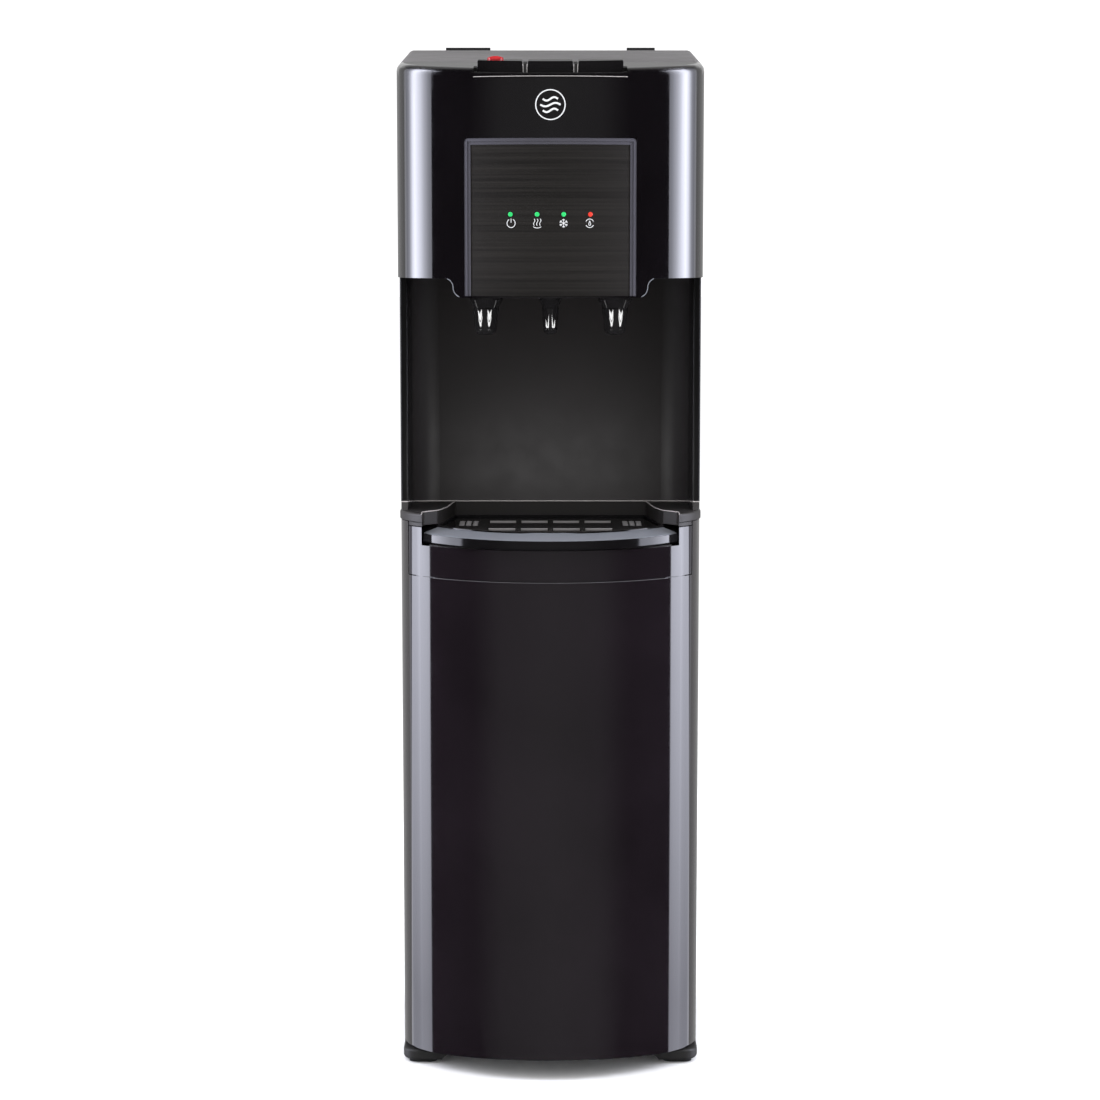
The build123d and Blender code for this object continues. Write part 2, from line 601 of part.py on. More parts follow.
def faceplate_bezel():
    """Stepped three-sided surround of the faceplate."""
    low = CHIN_Z + 1.6
    outer = block(-WINDOW_HALF + 0.15, WINDOW_HALF - 0.15, -200, -130, low, WINDOW_TOP_Z - 0.15)
    outer = fillet(outer.edges().filter_by(Axis.Y).sort_by(Axis.Z)[-2:], 3.9)
    middle_half = WINDOW_HALF - BEZEL_WIDTH / 2
    middle_top = WINDOW_TOP_Z - BEZEL_WIDTH / 2
    middle = block(-middle_half, middle_half, -220, -130, low - 1, middle_top)
    inner_half = WINDOW_HALF - BEZEL_WIDTH
    inner = block(-inner_half, inner_half, -220, -120, low - 1, WINDOW_TOP_Z - BEZEL_WIDTH)
    frame = bowed_shell(0.6, 4.8, -130, low, 970, HEAD_HALF) & outer
    step = bowed(-5, -100, low - 2, 980, HEAD_HALF) - bowed(1.6, -90, low - 3, 990, HEAD_HALF)
    frame -= step & middle
    save("faceplate_bezel", frame - inner)


def faceplate():
    half = WINDOW_HALF - BEZEL_WIDTH - 0.15
    plate = bowed_shell(2.2, 4.8, -130, CHIN_Z + 1.6, WINDOW_TOP_Z - BEZEL_WIDTH - 0.15, HEAD_HALF)
    plate &= block(-half, half, -200, -100, 700, 1000)
    for x in LENS_X:
        plate -= along_y(x, LENS_Z, -200, -100, LENS_R + 0.05)
    save("faceplate", plate)


def indicator_lenses():
    """Four domed light pipes set through the faceplate."""
    lenses = []
    for x in LENS_X:
        face_y = BOW_CENTRE_Y - sqrt((BOW_R - 2.2) ** 2 - x ** 2)
        lens = along_y(x, LENS_Z, face_y - 0.9, face_y + 6, LENS_R)
        tip = lens.edges().filter_by(GeomType.CIRCLE).sort_by(Axis.Y)[0]
        lenses.append(fillet(tip, 0.8))
    save("indicator_lenses", Compound(children=lenses))


# ---- buttons ----
def button_housing():
    """Tub under the top, with two ribs between the buttons and trunnion holes."""
    outer = top_block(-76, 76, -20, 34.2, -18, -0.4) & bow_drum(BOW_R - WALL - 0.2, 950, 1060)
    cavity = top_block(-73.1, 73.1, -30, 32.4, TUB_FLOOR, 10) & bow_drum(BUTTON_FRONT_R + PRESS_ROOM, 950, 1060)
    housing = outer - cavity
    housing -= top_block(-80, 80, -40, 40, -3.9, 10) - top_block(-80, 80, 20, 40, -10, 10)
    for x in (-25, 25):
        rib = top_block(x - 1.9, x + 1.9, -20, 33, -17, 4.8)
        housing += rib & bow_drum(BUTTON_FRONT_R + PRESS_ROOM, 950, 1060)
    for x in BUTTON_X:
        _, y, z = on_top(x, *TRUNNION)
        housing -= along_x(y, z, x - BUTTON_HALF - 2.3, x + BUTTON_HALF + 2.3, 1.5 + PIN_GAP)
    save("button_housing", housing)


def button(name, x):
    """Hollow rocker button with a bowed front face and two side trunnions."""
    cap = top_block(x - BUTTON_HALF, x + BUTTON_HALF, -20, BUTTON_REAR_V, -BUTTON_DEPTH, BUTTON_RISE)
    cap &= bow_drum(BUTTON_FRONT_R, 950, 1060)
    cap = fillet(roof_edges(cap), 1.4)
    wall = 1.8
    hollow = top_block(
        x - BUTTON_HALF + wall, x + BUTTON_HALF - wall, -20, BUTTON_REAR_V - wall,
        -BUTTON_DEPTH - 1, BUTTON_RISE - wall)
    cap -= hollow & bow_drum(BUTTON_FRONT_R - wall, 950, 1060)
    _, y, z = on_top(x, *TRUNNION)
    for side in (-1, 1):
        inner = x + side * (BUTTON_HALF - wall)
        outer = x + side * (BUTTON_HALF + 2.0)
        cap += along_x(y, z, min(inner, outer), max(inner, outer), 1.5)
    if x == BUTTON_X[0]:
        hole = Cylinder(SAFETY_R + GAP, 10)
        cap -= TOP_FRAME * Pos(SAFETY[0], SAFETY[1], BUTTON_RISE) * hole
    save(name, cap)


def safety_button():
    """Domed child-safety button, with a retaining flange under the hot button's top."""
    foot = BUTTON_RISE - 3.9
    body = Pos(0, 0, foot + 2.75) * Cylinder(SAFETY_R, 5.5)
    flange = Pos(0, 0, foot - 0.4) * Cylinder(9.0, 1.6)
    ball_r = 18.0
    ball = Pos(0, 0, BUTTON_RISE + 3.8 - ball_r) * Sphere(ball_r)
    dome = ball & Pos(0, 0, foot + 8) * Cylinder(SAFETY_R, 10)
    save("safety_button", TOP_FRAME * Pos(SAFETY[0], SAFETY[1], 0) * (body + flange + dome))


def button_spring(name, x):
    """Return spring under a button."""
    _, y, z = on_top(x, 15, TUB_FLOOR)
    path = Helix(pitch=3.2, height=SPRING_HEIGHT, radius=SPRING_R)
    wire = Plane(origin=path @ 0, z_dir=path % 0) * Circle(0.5)
    save(name, Pos(x + 12, y, z + 1.3) * sweep(wire, path=path))


# ---- spouts and water parts ----
def spout(name, x, y, scale):
    """Turned spout: neck, conical flange, tapered barrel with a rounded tip."""
    flange = 17.2 * scale
    body = 13.4 * scale
    tip = 11.0 * scale
    neck = 9.0 * scale if scale == 1 else 6.0
    bore = 4.5 * scale
    z0 = SPOUT_TIP_Z
    line = Polyline(
        (bore, z0 + 1.5), (bore, 806), (neck, 806), (neck, CHIN_Z - 0.05), (flange, CHIN_Z - 0.05),
        (flange, 799.5), (flange - 4.6 * scale, 791.5), (body, 790.3), (tip, z0 + 6.5))
    line += ThreePointArc((tip, z0 + 6.5), (tip - 1.6 * scale, z0 + 1.9), (tip - 5 * scale, z0))
    line += Polyline((tip - 5 * scale, z0), (bore + 0.8, z0), (bore, z0 + 1.5))
    section = Plane.XZ * make_face(line)
    save(name, Pos(x, y, 0) * revolve(section, Axis.Z))


def outlet_valves():
    """Three solenoid valves above the spouts."""
    valves = []
    for x, y in ((-SPOUT_X, SPOUT_Y), (0, ROOM_SPOUT_Y), (SPOUT_X, SPOUT_Y)):
        body = block(x - 15, x + 15, y - 13, y + 15, 806, 834)
        coil = upright(x, y, 833, 862, 12)
        cap = upright(x, y, 861, 866, 8)
        valves.append(body + coil + cap)
    save("outlet_valves", Compound(children=valves))


def water_tubes():
    """Pump riser, hot feed, and the three lines to the outlet valves."""
    run_z = 813.6
    under = TANK_BASE_Z - PIN_GAP
    tubes = [
        tube([(*PUMP_XY, 650), (*PUMP_XY, under)], None, 4, 2.5),
        tube([(38, 72, 727), (38, 72, under)], None, 4, 2.5),
        tube([(0, -5, under), (0, -5, run_z), (0, -85, run_z)], 7, 4, 2.5),
        tube([(36, 14, under), (36, 14, run_z), (SPOUT_X, -45, run_z), (SPOUT_X, -100, run_z)],
             [7, 30], 4, 2.5),
        tube([(HOT_XY[0], HOT_XY[1], 727), (HOT_XY[0], HOT_XY[1], run_z), (-SPOUT_X, -38, run_z),
              (-SPOUT_X, -100, run_z)], [14, 30], 4, 2.5),
    ]
    save("water_tubes", Compound(children=tubes))


def cold_tank():
    tank = upright(*COLD_XY, 838, 955, 70) - upright(*COLD_XY, 839.2, 953.8, 68.8)
    save("cold_tank", tank)


def evaporator_coil():
    """Copper tube wound round the cold tank."""
    path = Helix(pitch=14, height=70, radius=74.6)
    wire = Plane(origin=path @ 0, z_dir=path % 0) * Circle(3.0)
    save("evaporator_coil", Pos(*COLD_XY, 860) * sweep(wire, path=path))


def tank_insulation():
    """Foam cup and lid round the cold tank."""
    cup = upright(*COLD_XY, TANK_BASE_Z, 957, 97) - upright(*COLD_XY, 838, 960, 80)
    lid = upright(*COLD_XY, 957, 977, 97)
    lid -= upright(*COLD_XY, 950, 960, 71)
    save("tank_insulation", Compound(children=[cup, lid]))


def hot_tank():
    x, y = HOT_XY
    tank = upright(x, y, 604, 713, 46) - upright(x, y, 605, 712, 45)
    save("hot_tank", tank)


def heater_element():
    """U-shaped immersion heater inside the hot tank."""
    x, y = HOT_XY
    loop = tube([(x - 18, y, 612), (x - 18, y, 690), (x + 18, y, 690), (x + 18, y, 612)], 16, 4)
    save("heater_element", loop)


def hot_tank_jacket():
    """Foam jacket with closed ends."""
    x, y = HOT_XY
    jacket = upright(x, y, 590, 727, 64) - upright(x, y, 603.8, 713.2, 46.2)
    jacket += block(x - 30, x + 30, y - 30, y + 30, DECK_PLATE_Z + 2, 590)
    save("hot_tank_jacket", jacket)


def water_pump():
    x, y = PUMP_XY
    pump = upright(x, y, 566, 612, 16.5)
    pump += upright(x, y, 610, 646, 14)
    pump += upright(x, y, 645, 650, 6)
    pump += block(x - 15, x + 15, y - 14, y + 14, DECK_PLATE_Z + 2, 568)
    pump += upright(x, y, 544, 567, 3.4)
    save("water_pump", pump)


def suction_hose():
    """Hose from the pump's inlet, down and round to the parked suction probe."""
    x0 = PUMP_XY[0]
    x1 = x0 + 2 * HOSE_TURN_R
    turn_z = 300.0
    y = PUMP_XY[1]
    path = Line((x0, y, 558), (x0, y, turn_z))
    path += ThreePointArc((x0, y, turn_z), (x0 + HOSE_TURN_R, y, turn_z - HOSE_TURN_R), (x1, y, turn_z))
    path += Line((x1, y, turn_z), (x1, y, 462))
    start = Plane(origin=(x0, y, 558), z_dir=(0, 0, -1))
    section = start * Circle(HOSE_R) - start * Circle(HOSE_BORE_R)
    save("suction_hose", sweep(section, path=path))


def hose_clips():
    clips = []
    y = PUMP_XY[1]
    x0 = PUMP_XY[0]
    for x, z in ((x0, 500), (x0, 350), (x0 + 2 * HOSE_TURN_R, 330), (x0 + 2 * HOSE_TURN_R, 420)):
        clip = block(x - 8, x + 8, y - 3, REAR_Y - SHEET, z, z + 10)
        clip -= upright(x, y, z - 1, z + 11, HOSE_R + 0.05)
        clips.append(clip)
    save("hose_clips", Compound(children=clips))


def suction_probe():
    """Dip tube with its cap and elbow port, parked beside the bottle."""
    x = PROBE_X
    y = PUMP_XY[1]
    port_x = PUMP_XY[0] + 2 * HOSE_TURN_R
    probe = upright(x, y, 76, 446, 9) - upright(x, y, 70, 440, 6)
    probe += upright(x, y, 440, 480, 16)
    probe += along_x(y, 474, port_x, x, 3.4)
    probe += Pos(port_x, y, 474) * Sphere(3.4)
    probe += upright(port_x, y, 448, 474, 3.4)
    for z in (96, 108, 120):
        probe -= along_x(y, z, x - 20, x + 20, 2.2)
    save("suction_probe", probe)


def probe_holder():
    x = PROBE_X
    y = PUMP_XY[1]
    rings = []
    for z in (200, 400):
        ring = upright(x, y, z, z + 10, 13) - upright(x, y, z - 1, z + 11, 9.2)
        ring += block(x - 6, x + 6, y + 11, REAR_Y - SHEET, z, z + 10)
        rings.append(ring)
    cup = upright(x, y, 60, 90, 13) - upright(x, y, 75.9, 95, 9.2)
    cup += block(x - 6, x + 6, y + 11, REAR_Y - SHEET, 60, 90)
    rings.append(cup)
    save("probe_holder", Compound(children=rings))


# ---- refrigeration ----
def compressor():
    x, y = COMPRESSOR_XY
    shell = upright(x, y, 579, 680, 50)
    shell = fillet(shell.edges().filter_by(GeomType.CIRCLE), 17)
    shell += block(x - 54, x + 54, y - 40, y + 40, 576, 579) + upright(x, y, 578, 600, 30)
    shell += block(x - 20, x + 20, y - 59, y - 45, 610, 650)
    save("compressor", shell)


def compressor_mounts():
    x, y = COMPRESSOR_XY
    mounts = []
    for dx in (-46, 46):
        for dy in (-32, 32):
            foot = upright(x + dx, y + dy, DECK_PLATE_Z + 2, 576, 7)
            waist = upright(x + dx, y + dy, 567, 571, 8) - upright(x + dx, y + dy, 566, 572, 5.5)
            mounts.append(foot - waist)
    save("compressor_mounts", Compound(children=mounts))


def refrigerant_pipes():
    """Discharge, suction, liquid and capillary lines."""
    high_z = COIL_LOW_Z + (COIL_RUNS - 1) * COIL_PITCH
    low_z = COIL_LOW_Z
    hole_z = COIL_LOW_Z - 40
    top_end_z = TANK_BASE_Z - PIN_GAP
    pipes = [
        tube([(-104, 60, 680.05), (-104, 60, high_z), (-110, 130, high_z), (-110, 166, high_z),
              (-96, 166, high_z)], [10, 20, 6], COIL_R),
        tube([(-66, 74, 680.05), (-66, 74, top_end_z)], None, 3),
        tube([(-96, 166, low_z), (-118, 166, low_z), (-135, 166, hole_z), (-135, 125, hole_z),
              (-135, 125, 605)], [8, 6, 6], COIL_R),
        tube([(-135, 125, 675), (-135, 125, 770), (-62, 100, 770), (-62, 100, top_end_z)], 12, 1.2),
    ]
    save("refrigerant_pipes", Compound(children=pipes))


def filter_drier():
    drier = upright(-135, 125, 605, 675, 8)
    save("filter_drier", fillet(drier.edges().filter_by(GeomType.CIRCLE), 3.5))


def condenser():
    """Serpentine tube with upright wires on both faces."""
    points = []
    for run in range(COIL_RUNS):
        z = COIL_LOW_Z + run * COIL_PITCH
        row = [(-COIL_HALF, COIL_Y, z), (COIL_HALF, COIL_Y, z)]
        points += row if run % 2 == 0 else row[::-1]
    points[0] = (-96, COIL_Y, COIL_LOW_Z)
    points[-1] = (-96, COIL_Y, points[-1][2])
    coil = tube(points, COIL_PITCH / 2 - 0.5, COIL_R)
    high_z = COIL_LOW_Z + (COIL_RUNS - 1) * COIL_PITCH
    parts = [coil]
    for i in range(14):
        x = -84.5 + 13 * i
        for side in (-1, 1):
            parts.append(upright(x, COIL_Y + side * (COIL_R + 0.9), COIL_LOW_Z - 12, high_z + 12, 0.8))
    save("condenser", Compound(children=parts))


def condenser_brackets():
    """Four brackets; the upper pair reaches just above the top cover."""
    high_z = COIL_LOW_Z + (COIL_RUNS - 1) * COIL_PITCH
    top = top_z(REAR_Y) + 2.6
    upper_y = REAR_Y + 2.1
    arms = []
    for x0, x1 in ((-115, -92), (92, 115)):
        tab = (-115, -66) if x0 < 0 else (84, 115)
        plate = block(tab[0], tab[1], upper_y, upper_y + 1.5, high_z + 30, top)
        arm = block(x0, x1, upper_y, 180, high_z + 28, high_z + 30)
        lip = block(x0, x1, 178.5, 180, high_z - 6, high_z + 30)
        foot = block(x0, x1, REAR_Y, upper_y + 1.5, high_z + 28, high_z + 48)
        arms.append(plate + arm + lip + foot)
        low_arm = block(x0, x1, REAR_Y, 180, COIL_LOW_Z - 30, COIL_LOW_Z - 28)
        low_lip = block(x0, x1, 178.5, 180, COIL_LOW_Z - 30, COIL_LOW_Z + 6)
        low_foot = block(x0, x1, REAR_Y, REAR_Y + 1.5, COIL_LOW_Z - 50, COIL_LOW_Z - 28)
        arms.append(low_arm + low_lip + low_foot)
    save("condenser_brackets", Compound(children=arms))


# ---- electrical parts ----
def control_board():
    board = block(-68, 68, -140, -138.4, 872, 930)
    parts = board
    for x, z, w, h, d in ((-45, 890, 22, 18, 14), (-15, 890, 22, 18, 14), (30, 905, 30, 24, 9)):
        parts += block(x - w / 2, x + w / 2, -138.5, -138.4 + d, z - h / 2, z + h / 2)
    save("control_board", parts)


def switch_housing():
    frame = block(-32, 32, REAR_Y, REAR_Y + 2, SWITCH_Z - 16, SWITCH_Z + 16)
    frame += block(-29, 29, 132, REAR_Y + 1, SWITCH_Z - 13, SWITCH_Z + 13)
    for x in SWITCH_X:
        frame -= block(x - 9.5, x + 9.5, 136, 160, SWITCH_Z - 11.5, SWITCH_Z + 11.5)
        frame -= along_x(146, SWITCH_Z, x - 11.5, x + 11.5, 1.5 + PIN_GAP)
    save("switch_housing", frame)


def rocker(name, x):
    """Two-position rocker switch, stored pressed at its upper half."""
    outline = Polyline((0, 140.5, SWITCH_Z - 5), (0, 150.2, SWITCH_Z - 10.4), (0, 153.0, SWITCH_Z - 10.0))
    outline += ThreePointArc(
        (0, 153.0, SWITCH_Z - 10.0), (0, 151.2, SWITCH_Z), (0, 153.0, SWITCH_Z + 10.0))
    outline += Polyline(
        (0, 153.0, SWITCH_Z + 10.0), (0, 150.2, SWITCH_Z + 10.4), (0, 140.5, SWITCH_Z + 5), (0, 140.5, SWITCH_Z - 5))
    body = Pos(x - 9, 0, 0) * extrude(make_face(outline), amount=18, dir=(1, 0, 0))
    body += along_x(146, SWITCH_Z, x - 11.2, x + 11.2, 1.5)
    tilt = Pos(x, 146, SWITCH_Z) * Rot(-8, 0, 0) * Pos(-x, -146, -SWITCH_Z)
    save(name, tilt * body)


def cord_inlet():
    """Grommet that a power cord would leave through."""
    x, z = CORD_XZ
    grommet = along_y(x, z, 143, REAR_Y + 3, 8.0) + along_y(x, z, REAR_Y, REAR_Y + 3, 11)
    grommet -= along_y(x, z, 140, 160, 4.2)
    save("cord_inlet", grommet)


def drain_spigot():
    x = HOT_XY[0]
    spigot = along_y(x, DRAIN_Z, HOT_XY[1] + 64.6, 164, 8.0) - along_y(x, DRAIN_Z, 130, 170, 5.0)
    spigot += along_y(x, DRAIN_Z, REAR_Y, REAR_Y + 2, 14) - along_y(x, DRAIN_Z, 130, 170, 7.0)
    save("drain_spigot", spigot)


def drain_cap():
    x = HOT_XY[0]
    cap = along_y(x, DRAIN_Z, 152.6, 168, 12.0)
    cap -= along_y(x, DRAIN_Z, 150, 164.6, 8.4)
    cap = fillet(cap.edges().filter_by(GeomType.CIRCLE).sort_by(Axis.Y)[-1], 1.5)
    for i in range(12):
        turn = Pos(x, 0, DRAIN_Z) * Rot(0, 30 * i, 0) * Pos(-x, 0, -DRAIN_Z)
        cap -= turn * along_y(x + 12.6, DRAIN_Z, 150, 166, 1.3)
    save("drain_cap", cap)


base_pan()
foot_pads()
side_panel("side_panel_left", -1)
side_panel("side_panel_right", 1)
rear_panel()
panel_screws()
mid_deck()
door_skin()
door_liner()
door_pins()
door_magnet()
strike_plate()
frieze_panel()
tray_shelf()
drip_tray()
drip_grille()
backsplash()
head_shroud()
top_cover()
faceplate_bezel()
faceplate()
indicator_lenses()
button_housing()
for label, button_x in zip(("hot", "room", "cold"), BUTTON_X):
    button(f"button_{label}", button_x)
    button_spring(f"spring_{label}", button_x)
safety_button()
spout("spout_hot", -SPOUT_X, SPOUT_Y, 1)
spout("spout_cold", SPOUT_X, SPOUT_Y, 1)
spout("spout_room", 0, ROOM_SPOUT_Y, 0.66)
outlet_valves()
water_tubes()
cold_tank()
evaporator_coil()
tank_insulation()
hot_tank()
heater_element()
hot_tank_jacket()
water_pump()
suction_hose()
hose_clips()
suction_probe()
probe_holder()
compressor()
compressor_mounts()
refrigerant_pipes()
filter_drier()
condenser()
condenser_brackets()
control_board()
switch_housing()
rocker("rocker_hot", SWITCH_X[0])
rocker("rocker_cold", SWITCH_X[1])
cord_inlet()
drain_spigot()
drain_cap()
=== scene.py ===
import json
import math

import bmesh
import bpy
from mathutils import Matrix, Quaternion, Vector


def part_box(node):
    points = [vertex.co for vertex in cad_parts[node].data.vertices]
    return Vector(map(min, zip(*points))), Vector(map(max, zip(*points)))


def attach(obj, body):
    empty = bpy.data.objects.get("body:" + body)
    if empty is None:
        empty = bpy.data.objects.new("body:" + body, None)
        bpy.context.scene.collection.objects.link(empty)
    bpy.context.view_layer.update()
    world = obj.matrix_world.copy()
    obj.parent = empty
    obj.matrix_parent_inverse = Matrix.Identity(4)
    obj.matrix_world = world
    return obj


# Floor-standing water dispenser. Metres, +Z up, the front faces -Y, the origin is on the floor.
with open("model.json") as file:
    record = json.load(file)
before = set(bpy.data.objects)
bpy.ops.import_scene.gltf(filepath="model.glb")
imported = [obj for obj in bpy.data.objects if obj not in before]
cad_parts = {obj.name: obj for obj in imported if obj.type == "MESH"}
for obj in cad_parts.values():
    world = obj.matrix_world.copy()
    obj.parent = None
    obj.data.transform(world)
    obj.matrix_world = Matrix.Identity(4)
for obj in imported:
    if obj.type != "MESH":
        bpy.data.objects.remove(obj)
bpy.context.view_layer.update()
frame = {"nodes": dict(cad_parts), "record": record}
NODES = frame["nodes"]

# ---- sizes of the object, shared by the pieces below ----
BOW_R = 0.200                                  # plan radius of the bowed front
BOW_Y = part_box("door_skin")[0].y + BOW_R       # its centre line
FACE_R = BOW_R - 0.0022                        # face of the control panel
ICON_Z = 0.8765                                # centre of the printed icons
ICON_SIZE = 0.0042                             # radius of an icon
LENS_X = (-0.0397, -0.0132, 0.0132, 0.0397)    # lenses, and the icons under them
EMBLEM_Z = 0.9925
PRINT = 0.00012                                # half the thickness of printed marks
LIP_R = 0.155                                  # plan radius of the drip tray's lip
LIP_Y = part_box("drip_tray")[0].y + LIP_R       # its centre line
LIP_HALF = 0.1305                              # half its width
DECK_Z = 0.582                                 # top of the shelf
CHEEK_Y = -0.0775                              # front of the shelf's raised cheeks
TOP_SLOPE = 0.1228                             # rise of the sloped top towards the rear
TOP_FRONT = (-0.160, 1.028)                    # a point of the sloped top: Y and Z

# ---- camera and lights ----
CAMERA_PLACE = (-0.0004, -2.818, 0.8743)
CAMERA_PITCH = 83.035                          # degrees up from straight down
LENS_MM = 86.93
SENSOR_MM = 36.0
EDGE_X = 0.14                                  # the side boxes stand square to this edge of the body
BOX_AWAY = 1.2                                 # and this far from it
BOX_MIDDLE = 0.45                              # height of the side boxes' middle
BOX_HEIGHT = 3.2
BOX_DIM = (-0.29 - BOX_MIDDLE) / BOX_HEIGHT + 0.5    # where they are dimmest for the door, from 0 to 1
BOX_FULL = (0.38 - BOX_MIDDLE) / BOX_HEIGHT + 0.5    # where they are brightest for it
RAMP_WHITE = 10.0                              # radiance that stands as white in the boxes' ramps
COOL = (0.90, 0.92, 1.06)                      # tint of the lights at the sides
GLINT_AWAY = 0.8                               # distance of the small lights from the spouts
BAR = 24                                       # radiance of the bright bars on the spouts
HAZE = 3                                       # and of the softer ones on their flanges


# ---- camera ----
def make_camera():
    data = bpy.data.cameras.new("camera")
    data.sensor_width = SENSOR_MM
    data.lens = LENS_MM
    data.dof.use_dof = False
    camera = bpy.data.objects.new("camera", data)
    bpy.context.scene.collection.objects.link(camera)
    camera.location = CAMERA_PLACE
    camera.rotation_euler = (math.radians(CAMERA_PITCH), 0.0, 0.0)
    bpy.context.scene.camera = camera


# ---- lights and stage ----
def light_group(name, members, state):
    """Collection that includes or excludes its members when a light is linked to it."""
    group = bpy.data.collections.new(name)
    for member in members:
        group.objects.link(member)
    for row in group.collection_objects:
        row.light_linking.link_state = state
    return group


def softbox(name, centre, target, width, height, radiance, tint=(1.0, 1.0, 1.0), only=None, skip=None,
            blockers=None, roll=0.0):
    """Rectangular light with a given radiance, aimed at a point and hidden from the camera.

    It reaches just the objects in only, or all but those in skip, where these are given.
    Only the blockers shade it, where these are given.
    Roll turns it about its aim, in degrees.
    """
    data = bpy.data.lights.new(name, "AREA")
    data.shape = "RECTANGLE"
    data.size = width
    data.size_y = height
    data.energy = radiance * math.pi * width * height
    data.color = tint
    light = bpy.data.objects.new(name, data)
    bpy.context.scene.collection.objects.link(light)
    light.location = centre
    aim = Vector(target) - Vector(centre)
    turn = Quaternion((0.0, 0.0, 1.0), math.radians(roll))
    light.rotation_euler = (aim.to_track_quat("-Z", "Y") @ turn).to_euler()
    light.visible_camera = False
    if only or skip:
        state = "INCLUDE" if only else "EXCLUDE"
        light.light_linking.receiver_collection = light_group(name + "_receivers", only or skip, state)
    if blockers:
        light.light_linking.blocker_collection = light_group(name + "_blockers", blockers, "INCLUDE")
    return data


def ramp(tree, value, stops, white):
    """Grey level from (position, level) stops, as a share of white."""
    node = add(tree, "ValToRGB", {"Fac": value})
    elements = node.color_ramp.elements
    while len(elements) < len(stops):
        elements.new(0.5)
    for element, (position, level) in zip(elements, stops):
        grey = level / white
        element.position = position
        element.color = (grey, grey, grey, 1.0)
    return node.outputs["Color"]


def multiply(tree, first, second):
    return add(tree, "Math", {0: first, 1: second}, operation="MULTIPLY").outputs["Value"]


def start_grading(data, side=1):
    """A light's node tree, and a point's place on the light, across and up, from 0 to 1.

    With its side given, across runs from the front to the rear for a light on either side.
    """
    data.use_nodes = True
    tree = data.node_tree
    split = add(tree, "SeparateXYZ", {"Vector": add(tree, "NewGeometry").outputs["Parametric"]})
    across = split.outputs["X"]
    if side < 0:
        across = add(tree, "Math", {0: 1.0, 1: across}, operation="SUBTRACT").outputs["Value"]
    return tree, across, split.outputs["Y"]


def emit(tree, strength):
    tree.links.new(strength, tree.nodes["Emission"].inputs["Strength"])


def grade_side_box(data, side):
    """Light falls off across the box; its upper part, mirrored by the head, has a narrow bright core."""
    tree, across, upright = start_grading(data, side)
    head_stops = [
        (0.0, 1.7), (0.05, 2.1), (0.13, 3.9), (0.20, 6.4), (0.26, 10.0), (0.33, 9.6),
        (0.40, 7.8), (0.50, 4.3), (0.62, 1.85), (0.75, 1.1), (1.0, 0.5),
    ]
    door_stops = [
        (0.062, 0.0), (0.075, 3.9), (0.20, 4.5), (0.26, 5.1),
        (0.33, 4.6), (0.42, 3.6), (0.60, 3.0), (0.90, 2.4),
    ]
    head = ramp(tree, across, head_stops, RAMP_WHITE)
    door = ramp(tree, across, door_stops, RAMP_WHITE)
    low = multiply(tree, door, spread(tree, upright, 0.45, 1.06, from_low=BOX_DIM, from_high=BOX_FULL))
    # a slanted cut dims the rear part of the lower box
    lean = 1.18
    cut = 0.724 + lean * BOX_FULL
    dimmed = 0.14
    slant = add(tree, "Math", {0: upright, 1: lean, 2: across}, operation="MULTIPLY_ADD").outputs["Value"]
    low = multiply(tree, low, spread(tree, slant, 1.0, dimmed, from_low=cut - 0.01, from_high=cut + 0.01))
    mix = add(tree, "Mix", data_type="FLOAT")
    upper = spread(tree, upright, 0.0, 1.0, from_low=BOX_FULL + 0.03, from_high=BOX_FULL + 0.08)
    tree.links.new(upper, mix.inputs[0])
    tree.links.new(low, mix.inputs[2])
    tree.links.new(head, mix.inputs[3])
    emit(tree, multiply(tree, mix.outputs[0], RAMP_WHITE))


def grade_lip_box(data, side):
    """Brighter towards the ends of the tray's lip, which mirror its rear part."""
    tree, across, _ = start_grading(data, side)
    strength = ramp(tree, across, [(0.0, 4.6), (0.25, 4.8), (0.66, 7.6), (0.90, 8.8)], RAMP_WHITE)
    emit(tree, multiply(tree, strength, RAMP_WHITE))


def grade_front_glow(data):
    """Brightest along the middle, nothing at the two sides."""
    tree, across, _ = start_grading(data)
    stops = [(0.02, 0.0), (0.13, 0.25), (0.26, 0.75), (0.5, 1.0), (0.74, 0.75), (0.87, 0.25), (0.98, 0.0)]
    emit(tree, ramp(tree, across, stops, 1.0))


